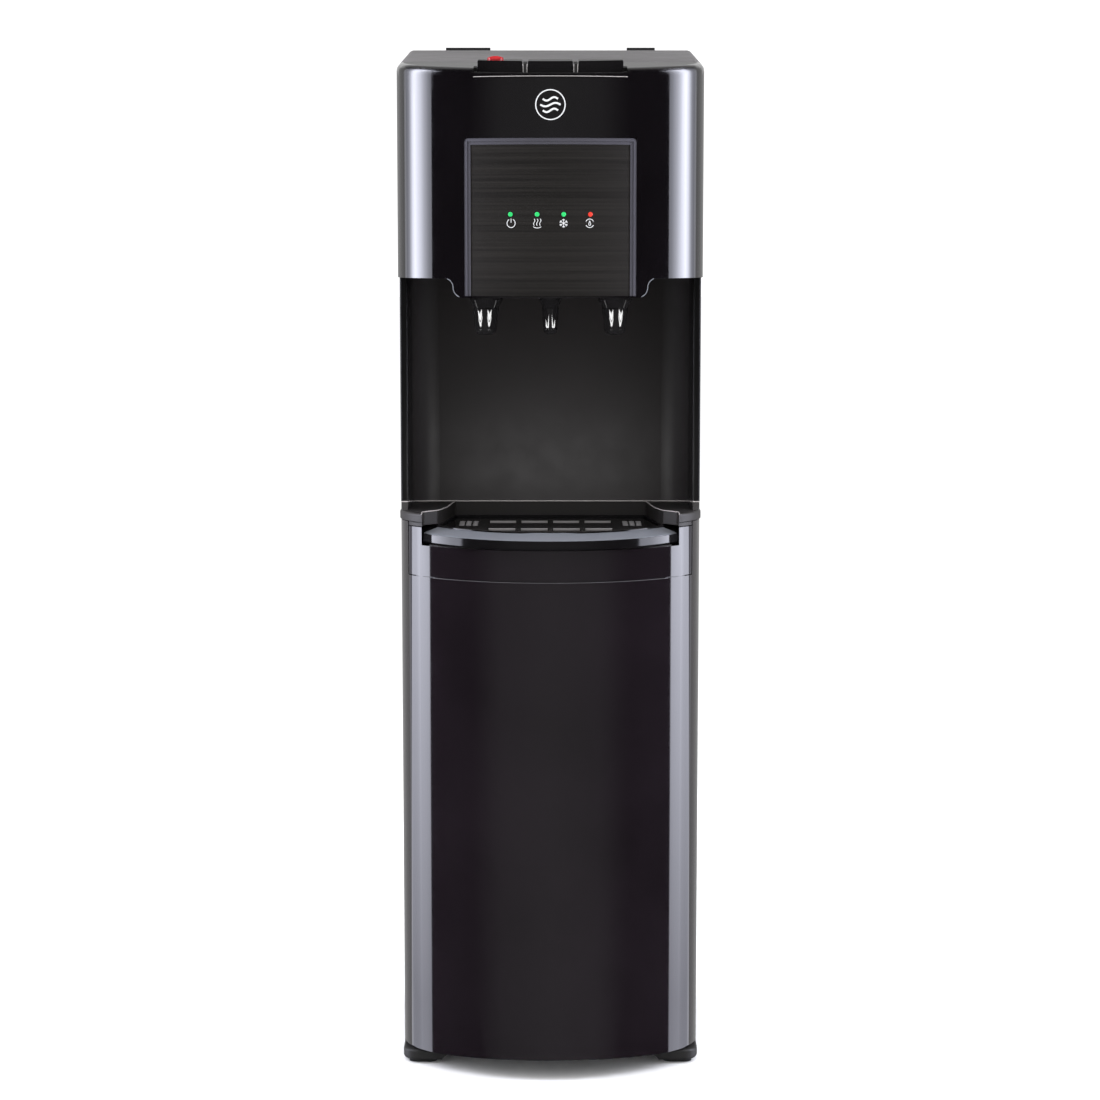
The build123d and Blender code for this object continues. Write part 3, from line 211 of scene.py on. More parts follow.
def make_lights():
    spouts = [NODES[name] for name in ("spout_hot", "spout_cold", "spout_room")]
    head = [NODES[name] for name in ("head_shroud", "button_hot", "button_room", "button_cold")]
    tray = [NODES["drip_tray"]]
    alcove = [NODES["backsplash"]]
    side_y = 0.085
    for side in (-1, 1):
        edge = side * EDGE_X
        centre = (edge + side * BOX_AWAY, side_y, BOX_MIDDLE)
        box = softbox("side_box", centre, (edge, side_y, BOX_MIDDLE), width=1.05, height=BOX_HEIGHT,
                      radiance=1.0, tint=COOL, skip=spouts + tray)
        grade_side_box(box, side)
        softbox("rear_box", (edge + side * 0.98, 1.33, 0.5), (edge, 0.0, 0.5), width=2.06, height=BOX_HEIGHT,
                radiance=0.36, skip=spouts)
    glow = softbox("front_glow", (0, -3.3, 0.4), (0, 0, 0.4), width=7.6, height=3.4,
                   radiance=0.127, skip=alcove)
    grade_front_glow(glow)
    softbox("top_box", (0, -0.2, 2.6), (0, 0, 0.9), width=1.8, height=1.4, radiance=2.0, skip=head)
    softbox("back_panel", (0, 1.9, 1.55), (0, 0, 1.1), width=3.0, height=0.8, radiance=0.26)
    softbox("ceiling", (0, 1.6, 3.0), (0, 0, 1.0), width=4.0, height=2.6, radiance=0.30, only=head)
    softbox("alcove_glow", (0, -0.25, 0.60), (0, 0.005, 0.60), width=0.22, height=0.04,
            radiance=6.0, only=alcove)
    lip_box_y = -0.045
    lip_box_z = 0.42
    for side in (-1, 1):
        centre = (side * 1.33, lip_box_y, lip_box_z)
        box = softbox("lip_box", centre, (0.0, lip_box_y, lip_box_z), width=0.98, height=0.8,
                      radiance=1.0, tint=COOL, only=tray, blockers=tray)
        grade_lip_box(box, side)


def glint(node, x, z, radius, lean, turn, width, height, radiance):
    """Small light placed where a turned part mirrors it as a bar of a given width and height.

    The bar is at an angle round the part (turn), on a face that leans downwards (lean), in degrees.
    """
    turn = math.radians(turn)
    lean = math.radians(lean)
    normal = Vector((math.sin(turn) * math.cos(lean), -math.cos(turn) * math.cos(lean), -math.sin(lean)))
    centre_y = (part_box(node)[0].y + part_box(node)[1].y) / 2
    point = Vector((x + radius * math.sin(turn), centre_y - radius * math.cos(turn), z))
    view = point - Vector(CAMERA_PLACE)
    mirrored = (view - 2 * view.dot(normal) * normal).normalized()
    half_turn = math.asin(min(width / (radius * math.cos(turn)), 1.0) / 2)
    wide = 2 * GLINT_AWAY * math.tan(2 * half_turn)
    tall = height * (view.length + GLINT_AWAY) / view.length
    roll = math.degrees(math.sin(abs(turn)) * lean) * math.copysign(1.0, turn)
    softbox("glint", point + GLINT_AWAY * mirrored, point, wide, tall, radiance,
            only=[NODES[node]], roll=roll)


def make_spout_glints():
    """Two bright bars on each spout's barrel, and a softer pair on the flanges of the large ones."""
    for node, outward in (("spout_hot", -1), ("spout_cold", 1)):
        low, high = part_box(node)
        x = (low.x + high.x) / 2
        for side in (-1, 1):
            turn = side * (22 + 4 * side * outward)
            glint(node, x, low.z + 0.0173, radius=0.01245, lean=7.0, turn=turn,
                  width=0.0036, height=0.0062, radiance=BAR)
            glint(node, x, low.z + 0.0108, radius=0.01160, lean=7.0, turn=turn,
                  width=0.0036, height=0.0038, radiance=BAR)
            glint(node, x, low.z + 0.0312, radius=0.0149, lean=29.9, turn=side * 40,
                  width=0.0045, height=0.0060, radiance=HAZE)
    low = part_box("spout_room")[0]
    for side in (-1, 1):
        glint("spout_room", 0.0, low.z + 0.0050, radius=0.0074, lean=4.65, turn=side * 25,
              width=0.0031, height=0.0092, radiance=BAR)


def make_world():
    """White surroundings that gloss doesn't mirror: only the softboxes show in it."""
    world = bpy.data.worlds.new("studio")
    bpy.context.scene.world = world
    world.use_nodes = True
    background = world.node_tree.nodes["Background"]
    background.inputs["Color"].default_value = (1.0, 1.0, 1.0, 1.0)
    background.inputs["Strength"].default_value = 1.2
    world.cycles_visibility.glossy = False


def make_floor():
    bpy.ops.mesh.primitive_plane_add(size=60.0)
    floor = bpy.context.object
    floor.name = "floor"
    _, shader = new_material("pale_floor")
    shader.inputs["Base Color"].default_value = (0.9, 0.9, 0.9, 1.0)
    shader.inputs["Roughness"].default_value = 0.9
    shader.inputs["Specular IOR Level"].default_value = 0.0
    floor.data.materials.append(bpy.data.materials["pale_floor"])
    floor.visible_glossy = False
    floor.visible_shadow = False


# ---- node helpers ----
def new_material(name):
    material = bpy.data.materials.new(name)
    material.use_nodes = True
    tree = material.node_tree
    return tree, tree.nodes["Principled BSDF"]


def add(tree, kind, links=None, **settings):
    """New node: settings are its attributes, links its inputs by name (values or sockets)."""
    node = tree.nodes.new("ShaderNode" + kind)
    for key, value in settings.items():
        setattr(node, key, value)
    for key, value in (links or {}).items():
        if isinstance(value, bpy.types.NodeSocket):
            tree.links.new(value, node.inputs[key])
        else:
            node.inputs[key].default_value = value
    return node


def place(tree, scale=(1.0, 1.0, 1.0)):
    """Position in the object's own frame, in metres, stretched by scale."""
    coordinates = add(tree, "TexCoord")
    mapping = add(tree, "Mapping", {"Vector": coordinates.outputs["Object"], "Scale": scale})
    return mapping.outputs["Vector"]


def own_x(tree):
    """Distance to the right of the object's middle."""
    coordinates = add(tree, "TexCoord")
    return add(tree, "SeparateXYZ", {"Vector": coordinates.outputs["Object"]}).outputs["X"]


def noise(tree, scale, detail=3.0, stretch=(1.0, 1.0, 1.0), roughness=0.5):
    node = add(tree, "TexNoise", {
        "Vector": place(tree, stretch), "Scale": scale, "Detail": detail, "Roughness": roughness})
    return node.outputs["Fac"]


def spread(tree, value, low, high, from_low=0.3, from_high=0.7):
    """Value from from_low..from_high mapped to low..high."""
    node = add(tree, "MapRange", {
        "Value": value, "From Min": from_low, "From Max": from_high, "To Min": low, "To Max": high})
    return node.outputs["Result"]


def blend_colours(tree, factor, first, second):
    node = add(tree, "Mix", data_type="RGBA")
    tree.links.new(factor, node.inputs[0])
    for socket, colour in ((node.inputs[6], first), (node.inputs[7], second)):
        if isinstance(colour, bpy.types.NodeSocket):
            tree.links.new(colour, socket)
        else:
            socket.default_value = (*colour, 1.0)
    return node.outputs[2]


def shade(colour, factor):
    return tuple(channel * factor for channel in colour)


# ---- materials ----
def surface(name, colour, rough, vary=0.15, rough_vary=0.04, grain=None, rounding=0.0004, ior=1.5,
            metallic=0.0, coat=0.0, coat_rough=0.05, stretch=(1, 1, 1), top_roll=None):
    """Moulded, painted or metal surface: drifting colour, uneven gloss, grain and soft edges.

    Grain is its strength and its grains per metre. Top_roll is a larger rounding for the head's top edge.
    """
    tree, shader = new_material(name)
    drift = noise(tree, 7.0, 4.0, stretch)
    mixed = spread(tree, drift, 0.0, 1.0)
    base = blend_colours(tree, mixed, shade(colour, 1 - vary), shade(colour, 1 + vary))
    tree.links.new(base, shader.inputs["Base Color"])
    gloss = noise(tree, 45.0, 5.0, stretch)
    tree.links.new(spread(tree, gloss, rough - rough_vary, rough + rough_vary), shader.inputs["Roughness"])
    shader.inputs["IOR"].default_value = ior
    shader.inputs["Metallic"].default_value = metallic
    shader.inputs["Coat Weight"].default_value = coat
    shader.inputs["Coat Roughness"].default_value = coat_rough
    if top_roll:
        height = add(tree, "SeparateXYZ", {"Vector": place(tree)}).outputs["Z"]
        rounding = spread(tree, height, rounding, top_roll, from_low=1.0, from_high=1.012)
    normal = add(tree, "Bevel", {"Radius": rounding}, samples=4).outputs["Normal"]
    if grain:
        strength, grains = grain
        fine = noise(tree, grains, 2.0, stretch)
        bump = add(tree, "Bump", {"Height": fine, "Normal": normal, "Strength": strength, "Distance": 0.0002})
        normal = bump.outputs["Normal"]
    tree.links.new(normal, shader.inputs["Normal"])
    return bpy.data.materials[name]


def brushed_panel():
    """Dark plate with long horizontal brush lines, broad ones over fine ones."""
    name = "brushed_plate"
    dark = (0.0105, 0.0090, 0.0084)
    pale = (0.0250, 0.0220, 0.0200)
    cloudy = (0.0165, 0.0145, 0.0130)
    tree, shader = new_material(name)
    broad = noise(tree, 1.0, 6.0, stretch=(3.0, 3.0, 420.0), roughness=0.65)
    fine = noise(tree, 1.0, 4.0, stretch=(14.0, 14.0, 3200.0))
    cloud = noise(tree, 9.0, 2.0)
    lines = blend_colours(tree, spread(tree, broad, 0.0, 1.0, from_low=0.35, from_high=0.68), dark, pale)
    warm = blend_colours(tree, spread(tree, cloud, 0.0, 0.45), lines, cloudy)
    tree.links.new(warm, shader.inputs["Base Color"])
    tree.links.new(spread(tree, fine, 0.34, 0.5), shader.inputs["Roughness"])
    shader.inputs["Specular IOR Level"].default_value = 0.35
    bump = add(tree, "Bump", {"Height": fine, "Strength": 0.12, "Distance": 0.0001})
    tree.links.new(bump.outputs["Normal"], shader.inputs["Normal"])
    return bpy.data.materials[name]


def lens_material():
    """Lit lenses: three green ones, and a red one at the right."""
    name = "lit_lens"
    green = (0.03, 0.62, 0.16)
    red = (0.85, 0.05, 0.03)
    between = 0.5 * (LENS_X[2] + LENS_X[3])
    tree, shader = new_material(name)
    right = add(tree, "Math", {0: own_x(tree), 1: between}, operation="GREATER_THAN").outputs["Value"]
    colour = blend_colours(tree, right, green, red)
    deep = blend_colours(tree, spread(tree, noise(tree, 900.0), 0.0, 0.3), colour, (0.02, 0.02, 0.02))
    tree.links.new(deep, shader.inputs["Base Color"])
    tree.links.new(colour, shader.inputs["Emission Color"])
    shader.inputs["Emission Strength"].default_value = 0.25
    shader.inputs["Roughness"].default_value = 0.12
    return bpy.data.materials[name]


def board_material():
    """Solder resist with pale copper tracks under it."""
    name = "circuit_board"
    tree, shader = new_material(name)
    tracks = add(tree, "TexBrick", {
        "Vector": place(tree), "Scale": 90.0, "Mortar Size": 0.03,
        "Color1": (0.012, 0.10, 0.045, 1), "Color2": (0.016, 0.13, 0.05, 1), "Mortar": (0.05, 0.22, 0.09, 1)})
    tree.links.new(tracks.outputs["Color"], shader.inputs["Base Color"])
    tree.links.new(spread(tree, noise(tree, 300.0), 0.25, 0.4), shader.inputs["Roughness"])
    return bpy.data.materials[name]


def foam_material():
    """Beads that fade into their joints, each one slightly domed."""
    name = "moulded_foam"
    pale = (0.74, 0.72, 0.66)
    joint = (0.55, 0.53, 0.48)
    tree, shader = new_material(name)
    beads = add(tree, "TexVoronoi", {"Vector": place(tree), "Scale": 260.0}).outputs["Distance"]
    base = blend_colours(tree, spread(tree, beads, 0.0, 1.0, from_low=0.1, from_high=0.6), pale, joint)
    tree.links.new(base, shader.inputs["Base Color"])
    shader.inputs["Roughness"].default_value = 0.85
    bump = add(tree, "Bump", {"Height": beads, "Strength": 0.5, "Distance": 0.0006}, invert=True)
    tree.links.new(bump.outputs["Normal"], shader.inputs["Normal"])
    return bpy.data.materials[name]


def alcove_material():
    """Satin moulding of the alcove: dark front flanges; inside them, on the rounded corners and side walls, a
    paler band of painted light.
    """
    name = "alcove_moulding"
    flange_black = (0.0045, 0.0040, 0.0042)
    tree, shader = new_material(name)
    reach = add(tree, "Math", {0: own_x(tree)}, operation="ABSOLUTE").outputs["Value"]
    drift = spread(tree, noise(tree, 6.0, 4.0), 0.0, 1.0)
    wall = blend_colours(tree, drift, (0.0160, 0.0128, 0.0131), (0.0195, 0.0158, 0.0162))
    # painted light: a paler colour on the alcove's rounded corners and side walls
    lit_band = blend_colours(tree, drift, (0.0245, 0.0222, 0.0235), (0.0295, 0.0268, 0.0282))
    in_lit_corners = spread(tree, reach, 0.0, 1.0, from_low=0.118, from_high=0.130)
    in_flange = spread(tree, reach, 0.0, 1.0, from_low=0.1455, from_high=0.1470)
    inner = blend_colours(tree, in_lit_corners, wall, lit_band)
    tree.links.new(blend_colours(tree, in_flange, inner, flange_black), shader.inputs["Base Color"])
    tree.links.new(spread(tree, noise(tree, 45.0, 5.0), 0.40, 0.46), shader.inputs["Roughness"])
    shader.inputs["IOR"].default_value = 1.42
    soft = add(tree, "Bevel", {"Radius": 0.0004}, samples=4).outputs["Normal"]
    grain = noise(tree, 1600.0, 2.0)
    bump = add(tree, "Bump", {"Height": grain, "Normal": soft, "Strength": 0.10, "Distance": 0.0002})
    tree.links.new(bump.outputs["Normal"], shader.inputs["Normal"])
    return bpy.data.materials[name]


def front_materials():
    """Glossy and satin finishes of the front."""
    lacquer = {"ior": 1.62, "coat": 1.0, "coat_rough": 0.03}
    return {
        "piano_black": surface("piano_gloss", (0.0038, 0.0031, 0.0038), rough=0.06, vary=0.2,
                               rough_vary=0.015, top_roll=0.008, **lacquer),
        "black_steel": surface("black_stainless", (0.0084, 0.0062, 0.0080), rough=0.06, vary=0.2,
                               rough_vary=0.012, **lacquer),
        "gloss_black": surface("gloss_moulding", (0.0050, 0.0045, 0.0050), rough=0.10, vary=0.2,
                               rough_vary=0.02),
        "spout_gloss": surface("spout_moulding", (0.010, 0.0095, 0.0100), rough=0.016, vary=0.2,
                               rough_vary=0.003),
        "satin_black": surface("satin_moulding", (0.030, 0.0275, 0.0265), rough=0.42, vary=0.08,
                               rough_vary=0.03, grain=(0.10, 1600.0), ior=1.42),
        "bezel_grey": surface("satin_bezel", (0.070, 0.068, 0.085), rough=0.35, vary=0.08,
                              grain=(0.05, 1200.0), ior=1.45),
        "safety_red": surface("red_gloss", (0.44, 0.020, 0.024), rough=0.22, vary=0.10,
                              rough_vary=0.03, rounding=0.0003),
        "alcove_black": alcove_material(),
        "brushed_dark": brushed_panel(),
        "lens": lens_material(),
    }


def body_materials():
    """Painted, moulded and rubber finishes of the body and its inside."""
    return {
        "side_paint": surface("powder_coat", (0.020, 0.0195, 0.020), rough=0.44, vary=0.12,
                              rough_vary=0.05, grain=(0.35, 1400.0)),
        "moulded_black": surface("textured_moulding", (0.022, 0.021, 0.0205), rough=0.50, vary=0.10,
                                 grain=(0.30, 1500.0)),
        "satin_grey": surface("satin_lid", (0.142, 0.136, 0.136), rough=0.50, vary=0.10,
                              grain=(0.30, 1500.0)),
        "rubber_black": surface("rubber", (0.018, 0.018, 0.018), rough=0.72, rough_vary=0.06,
                                grain=(0.35, 700.0)),
        "black_enamel": surface("enamel", (0.014, 0.014, 0.015), rough=0.24, vary=0.2,
                                rough_vary=0.06, grain=(0.08, 300.0)),
        "clear_hose": surface("milky_hose", (0.60, 0.63, 0.65), rough=0.30, vary=0.06),
        "white_plastic": surface("white_moulding", (0.72, 0.71, 0.68), rough=0.40, vary=0.05,
                                 grain=(0.10, 900.0)),
        "foam": foam_material(),
        "board_green": board_material(),
    }


def metal_materials():
    """Bare metals and the door's magnet."""
    return {
        "galvanised": surface("zinc_sheet", (0.46, 0.47, 0.48), rough=0.38, vary=0.22,
                              rough_vary=0.10, grain=(0.05, 300.0), metallic=1.0),
        "stainless": surface("drawn_stainless", (0.58, 0.57, 0.55), rough=0.30, vary=0.08,
                             rough_vary=0.06, grain=(0.04, 500.0), metallic=1.0, stretch=(1, 1, 30)),
        "spring_steel": surface("bright_steel", (0.42, 0.42, 0.43), rough=0.26, vary=0.10,
                                rough_vary=0.06, metallic=1.0, rounding=0.0002),
        "copper": surface("drawn_copper", (0.70, 0.33, 0.18), rough=0.30, vary=0.18,
                          rough_vary=0.09, metallic=1.0),
        "magnet_grey": surface("ferrite", (0.075, 0.075, 0.08), rough=0.62, vary=0.12,
                               rough_vary=0.05, grain=(0.3, 900.0)),
    }


def trim_materials():
    """Colours of the added pieces: white print, and greys of painted highlight, reflection and light."""
    return {
        "print": surface("white_ink", (0.80, 0.81, 0.83), rough=0.45, vary=0.05, rounding=0.00005),
        # painted reflection and highlight: a pale bluish grey for the tray's lip and the head's chin edges
        "rim": surface("smoky_rim", (0.160, 0.168, 0.188), rough=0.22, vary=0.16,
                       rough_vary=0.05, coat=0.5, rounding=0.0003),
        # painted light: a grey for the lit rear walls of the grille's windows and the edges of its holes
        "slot_painted_light": surface("grey_slot_face", (0.26, 0.25, 0.25), rough=0.35, vary=0.12,
                             rough_vary=0.05, rounding=0.0003),
        # painted highlight: a pale grey for bright edges of the shelf and the head
        "painted_edge_highlight": surface("polished_edge", (0.52, 0.49, 0.48), rough=0.30, vary=0.10,
                             rough_vary=0.05, rounding=0.0002),
        # painted highlight: a dark grey line for the top edge of the door skin
        "painted_seam_highlight": surface("worn_edge", (0.13, 0.125, 0.135), rough=0.35, vary=0.10,
                             rough_vary=0.05, rounding=0.0001),
    }


def paint_nodes(materials):
    """Every CAD node gets the finished material of its slot."""
    for row in frame["record"]["subparts"]:
        node = NODES[row["node"]]
        node.data.materials.clear()
        node.data.materials.append(materials[row["material_slot"]])


# ---- paths ----
def arc(centre, radius, start, end, steps=28):
    """Points of an arc between two angles in degrees."""
    angles = [math.radians(start + (end - start) * i / steps) for i in range(steps + 1)]
    return [(centre[0] + radius * math.cos(a), centre[1] + radius * math.sin(a)) for a in angles]


def wave(centre, length, height, upright=False, steps=24):
    """Points of one period of a sine wave, along the bow or upright."""
    points = []
    for i in range(steps + 1):
        t = i / steps - 0.5
        swing = height * math.sin(2 * math.pi * t)
        offset = (swing, t * length) if upright else (t * length, swing)
        points.append((centre[0] + offset[0], centre[1] + offset[1]))
    return points


def drop(centre, size, steps=24):
    """Closed outline of a water drop."""
    points = []
    for i in range(steps):
        a = 2 * math.pi * i / steps
        pinch = math.sin(a / 2) ** 1.6
        points.append((centre[0] + size * 0.62 * math.sin(a) * pinch, centre[1] + size * math.cos(a)))
    return points


def rounded_path(corners, radius, steps=10):
    """Points of a path through 2-D corners, with an arc of one radius at each inner corner."""
    points = [Vector(corners[0])]
    for before, here, after in zip(corners, corners[1:], corners[2:]):
        here = Vector(here)
        inward = (Vector(before) - here).normalized()
        outward = (Vector(after) - here).normalized()
        half = inward.angle(outward) / 2
        centre = here + (inward + outward).normalized() * radius / math.sin(half)
        start = here + inward * radius / math.tan(half) - centre
        end = here + outward * radius / math.tan(half) - centre
        for i in range(steps + 1):
            points.append(centre + (start * (1 - i / steps) + end * i / steps).normalized() * radius)
    points.append(Vector(corners[-1]))
    return points


def bow_line(reach, z, steps=24):
    """Points along the bowed front at one height, from the left to the right of a half width."""
    turns = [math.asin(reach / BOW_R) * i / steps for i in range(steps + 1)]
    right = [Vector((BOW_R * math.sin(a), BOW_Y - BOW_R * math.cos(a), z)) for a in turns]
    left = [Vector((-p.x, p.y, p.z)) for p in reversed(right[1:])]
    return left + right


def on_bow(s, radius, z):
    """Point on the bowed front: s is the distance along it from the middle."""
    angle = s / BOW_R
    return Vector((radius * math.sin(angle), BOW_Y - radius * math.cos(angle), z))


def sloped_top(x, y, lift):
    """Point at a height over the sloped top of the head."""
    return Vector((x, y, TOP_FRONT[1] + TOP_SLOPE * (y - TOP_FRONT[0]) + lift))


# ---- mesh helpers ----
def piece(name, mesh_data, body, material, smooth=True):
    """New object from a bmesh, riding on a body."""
    bmesh.ops.recalc_face_normals(mesh_data, faces=mesh_data.faces)
    mesh = bpy.data.meshes.new(name)
    mesh_data.to_mesh(mesh)
    mesh_data.free()
    for polygon in mesh.polygons:
        polygon.use_smooth = smooth
    obj = bpy.data.objects.new(name, mesh)
    bpy.context.scene.collection.objects.link(obj)
    mesh.materials.append(material)
    if smooth:
        mesh.set_sharp_from_angle(angle=math.radians(35))
    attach(obj, body)


def join_rings(mesh_data, rings, closed=False):
    """Faces between neighbouring rings of points, and a cap on each end of an open run."""
    pairs = list(zip(rings, rings[1:]))
    if closed:
        pairs.append((rings[-1], rings[0]))
    count = len(rings[0])
    for first, second in pairs:
        for k in range(count):
            after = (k + 1) % count
            mesh_data.faces.new((first[k], first[after], second[after], second[k]))
    if not closed:
        mesh_data.faces.new(rings[0])
        mesh_data.faces.new(rings[-1][::-1])


def side_step(points, i, closed):
    """Unit vector across the path at point i."""
    before = points[i - 1] if i or closed else points[i]
    after = points[(i + 1) % len(points)] if i + 1 < len(points) or closed else points[i]
    along = Vector((after[0] - before[0], after[1] - before[1])).normalized()
    return Vector((-along.y, along.x))


def ribbon(mesh_data, points, width, radius, closed=False):
    """Thin raised stroke along 2-D points, wrapped on the bow at a radius."""
    rings = []
    for i, (s, z) in enumerate(points):
        across = side_step(points, i, closed) * width / 2
        corners = ((s - across.x, z - across.y), (s + across.x, z + across.y))
        ring = []
        for a, b in corners:
            for r in (radius - PRINT, radius + PRINT):
                ring.append(mesh_data.verts.new(on_bow(a, r, b)))
        rings.append([ring[0], ring[1], ring[3], ring[2]])
    join_rings(mesh_data, rings, closed)


def lathe_band(mesh_data, profile, centre_y, half_width, steps=64):
    """Closed profile of (radius, z) swept about an upright line, cut at a half width."""
    reach = math.asin(half_width / max(radius for radius, _ in profile))
    rings = []
    for i in range(steps + 1):
        a = reach * (2 * i / steps - 1)
        ring = []
        for radius, z in profile:
            ring.append(mesh_data.verts.new((radius * math.sin(a), centre_y - radius * math.cos(a), z)))
        rings.append(ring)
    join_rings(mesh_data, rings)


def rounded_bar(mesh_data, start, end, width, height, segments=3):
    """Straight bar with rounded long edges between two points, width along Y, height along Z."""
    along = Vector(end) - Vector(start)
    radius = 0.45 * min(width, height)
    section = []
    for corner, (sy, sz) in enumerate(((1, 1), (-1, 1), (-1, -1), (1, -1))):
        for k in range(segments + 1):
            a = math.radians(90 * corner + 90 * k / segments)
            y = sy * (width / 2 - radius) + radius * math.cos(a)
            z = sz * (height / 2 - radius) + radius * math.sin(a)
            section.append(Vector((0, y, z)))
    rings = [[mesh_data.verts.new(Vector(start) + along * t + p) for p in section] for t in (0.0, 1.0)]
    join_rings(mesh_data, rings)


def tube_along(mesh_data, points, radius, sides=8):
    """Round bead along a list of points."""
    rings = []
    for i, point in enumerate(points):
        before = Vector(points[max(i - 1, 0)])
        after = Vector(points[min(i + 1, len(points) - 1)])
        along = (after - before).normalized()
        first = along.cross(Vector((0, 0, 1)))
        if first.length < 0.1:
            first = along.cross(Vector((0, 1, 0)))
        first.normalize()
        second = along.cross(first)
        ring = []
        for k in range(sides):
            a = 2 * math.pi * k / sides
            offset = radius * (math.cos(a) * first + math.sin(a) * second)
            ring.append(mesh_data.verts.new(Vector(point) + offset))
        rings.append(ring)
    join_rings(mesh_data, rings)


# ---- printed marks ----
def power_strokes(x):
    """Open ring with an upright bar."""
    bar = [(x, ICON_Z + ICON_SIZE * 1.1), (x, ICON_Z + ICON_SIZE * 0.15)]
    return [(arc((x, ICON_Z), ICON_SIZE, 118, 422), False), (bar, False)]


def heat_strokes(x):
    """Three rising waves over a shallow dish."""
    strokes = []
    for k in (-1, 0, 1):
        centre = (x + k * ICON_SIZE * 0.72, ICON_Z + ICON_SIZE * 0.25)
        strokes.append((wave(centre, ICON_SIZE * 1.6, ICON_SIZE * 0.16, upright=True), False))
    dish = (x, ICON_Z - ICON_SIZE * 0.95 + ICON_SIZE * 1.5)
    strokes.append((arc(dish, ICON_SIZE * 1.65, 235, 305), False))
    return strokes


def cold_strokes(x):
    """Six-armed snow crystal."""
    strokes = []
    centre = Vector((x, ICON_Z))
    for k in range(3):
        a = math.radians(60 * k + 30)
        tip = Vector((math.cos(a), math.sin(a))) * ICON_SIZE
        across = Vector((-tip.y, tip.x)) * 0.28
        strokes.append(([tuple(centre - tip), tuple(centre + tip)], False))
        for sign in (-1, 1):
            fork = centre + sign * tip * 0.55
            outer = centre + sign * tip * 0.92
            strokes.append(([tuple(outer + across), tuple(fork), tuple(outer - across)], False))
    return strokes


def refill_strokes(x):
    """Drop between two arcs."""
    strokes = [(arc((x, ICON_Z), ICON_SIZE, start, start + 130), False) for start in (25, 205)]
    strokes.append((drop((x, ICON_Z + ICON_SIZE * 0.05), ICON_SIZE * 0.55), True))
    return strokes


def make_icons(materials):
    stroke_width = 0.00062
    icons = bmesh.new()
    for strokes, x in zip((power_strokes, heat_strokes, cold_strokes, refill_strokes), LENS_X):
        for points, closed in strokes(x):
            ribbon(icons, points, stroke_width, FACE_R + 0.0001, closed)
    piece("panel_icons", icons, "cabinet", materials["print"], False)


def make_emblem(materials):
    """Ring with three waves in it."""
    ring_r = 0.0145
    wave_gap = 0.0056
    emblem = bmesh.new()
    ribbon(emblem, arc((0.0, EMBLEM_Z), ring_r, 0, 360 - 6, 60), 0.0011, BOW_R, True)
    for k, length in ((1, 0.0150), (0, 0.0200), (-1, 0.0150)):
        centre = (0.0, EMBLEM_Z + k * wave_gap)
        ribbon(emblem, wave(centre, length, 0.0017), 0.0018, BOW_R)
    piece("wave_emblem", emblem, "cabinet", materials["print"], False)


# ---- painted light on the tray and the shelf ----
def make_painted_lip_sheen(materials):
    """Pale strip on the sloped top of the tray's lip: a painted reflection of light."""
    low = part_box("drip_tray")[1].z - 0.0062
    rim = bmesh.new()
    profile = [
        (LIP_R - 0.0016, low + 0.0002), (LIP_R - 0.0001, low - 0.0009), (LIP_R + 0.0003, low - 0.0004),
        (LIP_R - 0.0007, low + 0.0005), (LIP_R - 0.0193, low + 0.0056), (LIP_R - 0.0195, low + 0.0050),
    ]
    lathe_band(rim, profile, LIP_Y, LIP_HALF - 0.0006)
    piece("tray_lip_painted_sheen", rim, "tray", materials["rim"])


def make_grille_painted_lights(materials):
    """Painted light on the grille: grey strips on the rear walls of its windows, and painted highlights as
    rings round its drain holes.
    """
    low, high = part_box("drip_grille")
    middle = (low.z + high.z) / 2
    window_rears = (-0.034, -0.104)
    window_x = (-0.0498, -0.0166, 0.0166, 0.0498)
    half_length = 0.0138
    thickness = 0.001
    first_hole = (0.078, -0.045)
    hole_step = (0.007, 0.011)
    hole_r = 0.0026
    faces = bmesh.new()
    for rear_y in window_rears:
        for x in window_x:
            y = rear_y - thickness / 2
            rounded_bar(faces, (x - half_length, y, middle), (x + half_length, y, middle), thickness, 0.0026)
    for side in (-1, 1):
        for row in range(4):
            for column in range(3):
                x = side * (first_hole[0] + hole_step[0] * column)
                centre = Vector((x, first_hole[1] - hole_step[1] * row, high.z + 0.0001))
                turns = [math.pi * k / 8 for k in range(17)]
                ring = [centre + hole_r * Vector((math.cos(a), math.sin(a), 0)) for a in turns]
                tube_along(faces, ring, 0.0003, 6)
    piece("grille_painted_lights", faces, "grille", materials["slot_painted_light"])


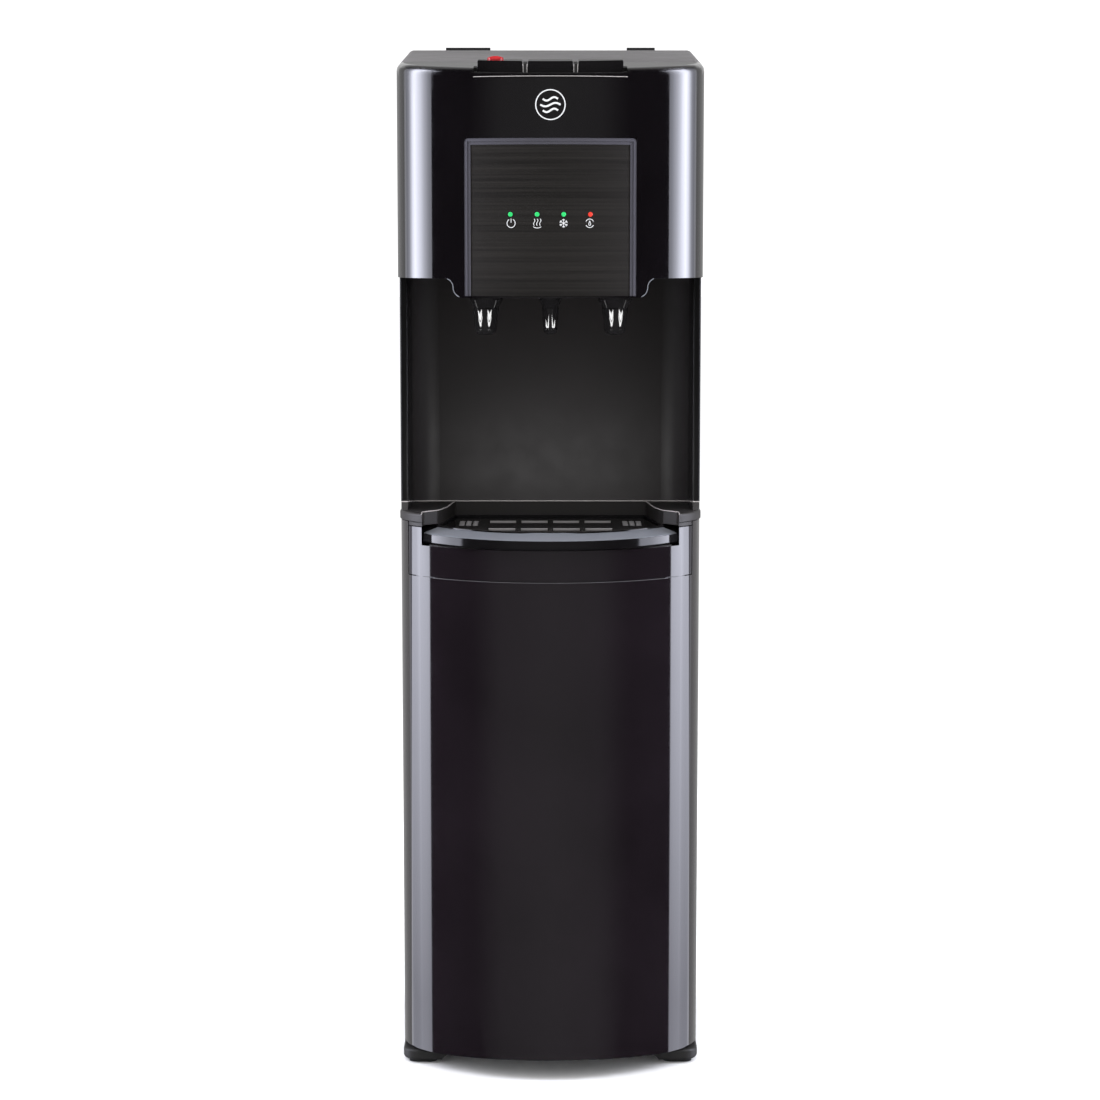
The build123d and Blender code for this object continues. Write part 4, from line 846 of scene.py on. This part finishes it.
def make_edge_lines(materials):
    """Beads of painted highlight where the shelf meets the backsplash, and round the tray opening."""
    wall_y = 0.005                             # rear wall of the alcove
    bend_x = 0.118                             # where its rounded corners begin
    bend_r = 0.028
    half = 0.1015                              # half width of the tray opening at the rear wall
    flare = 0.158                              # its widening towards the front
    neck_y = -0.088                            # where the opening turns outwards
    neck_x = half + flare * (wall_y - neck_y)
    mouth_x = 0.1317                           # half width of its mouth
    bead_r = 0.0006
    sunk = 0.0004                              # depth of the upper bead in the wall
    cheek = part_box("tray_shelf")[1].z
    climb = (cheek - DECK_Z) / (wall_y - CHEEK_Y)
    wall_line = [(0.0, wall_y - sunk), *arc((bend_x, wall_y - bend_r), bend_r - sunk, 90, 0, 8)]
    wall_line.append((bend_x + bend_r + 0.0002, CHEEK_Y + 0.0035))
    opening = [
        (neck_x - 0.008, neck_y + 0.030), (neck_x, neck_y), (mouth_x, neck_y - 0.017), (mouth_x, -0.125)]
    edge = [(half + 0.0003, wall_y - 0.0006), *rounded_path(opening, 0.009)]
    beads = bmesh.new()
    for side in (-1, 1):
        rising = [(side * x, y, DECK_Z + 0.0003 + climb * (wall_y - y)) for x, y in wall_line]
        tube_along(beads, rising, bead_r)
        tube_along(beads, [(side * x, y, DECK_Z + 0.0001) for x, y in edge], 0.0005)
        tube_along(beads, [(side * x, CHEEK_Y, cheek) for x in (0.1472, 0.1545)], bead_r)
    piece("shelf_edge_beads", beads, "cabinet", materials["painted_edge_highlight"])


# ---- painted highlights on the door and the head ----
def make_door_line(materials):
    """Thin painted highlight along the top edge of the door skin."""
    bead = bmesh.new()
    tube_along(bead, bow_line(0.1200, z=0.5168), 0.00022)
    piece("door_edge_bead", bead, "door", materials["painted_seam_highlight"])


def make_chin_line(materials):
    """Painted highlight on the rolled edge along the S curves of the head's underside."""
    low_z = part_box("head_shroud")[0].z
    curve_x = 0.088                            # where the lower curve begins
    curve_r = 0.0095
    lower = arc((curve_x, low_z + curve_r), curve_r, -70, 0, 10)
    upper = arc((curve_x + 2 * curve_r, low_z + curve_r), curve_r, 180, 110, 10)
    marks = bmesh.new()
    for side in (-1, 1):
        path = [(side * BOW_R * math.asin(x / BOW_R), z + 0.0004) for x, z in lower + upper[1:]]
        ribbon(marks, path, 0.0009, BOW_R)
    piece("chin_painted_highlights", marks, "cabinet", materials["rim"], False)


def make_head_trim(materials):
    """Fine lines of painted highlight under the buttons and beside the ribs between them."""
    rib_r = BOW_R - 0.0044
    rib_sides = (-0.0269, -0.0231, 0.0231, 0.0269)
    trim = bmesh.new()
    tube_along(trim, bow_line(0.0763, z=1.0204), 0.0003)
    for x in rib_sides:
        y = BOW_Y - math.sqrt(rib_r ** 2 - x ** 2)
        tube_along(trim, [sloped_top(x, y, -0.0036), sloped_top(x, y, 0.0044)], 0.00025)
    piece("head_trim", trim, "cabinet", materials["painted_edge_highlight"])


make_camera()
bpy.context.scene.view_settings.view_transform = "Standard"
make_world()
make_floor()
materials = {**front_materials(), **body_materials(), **metal_materials(), **trim_materials()}
paint_nodes(materials)
make_lights()
make_spout_glints()
make_icons(materials)
make_emblem(materials)
make_painted_lip_sheen(materials)
make_grille_painted_lights(materials)
make_edge_lines(materials)
make_door_line(materials)
make_chin_line(materials)
make_head_trim(materials)
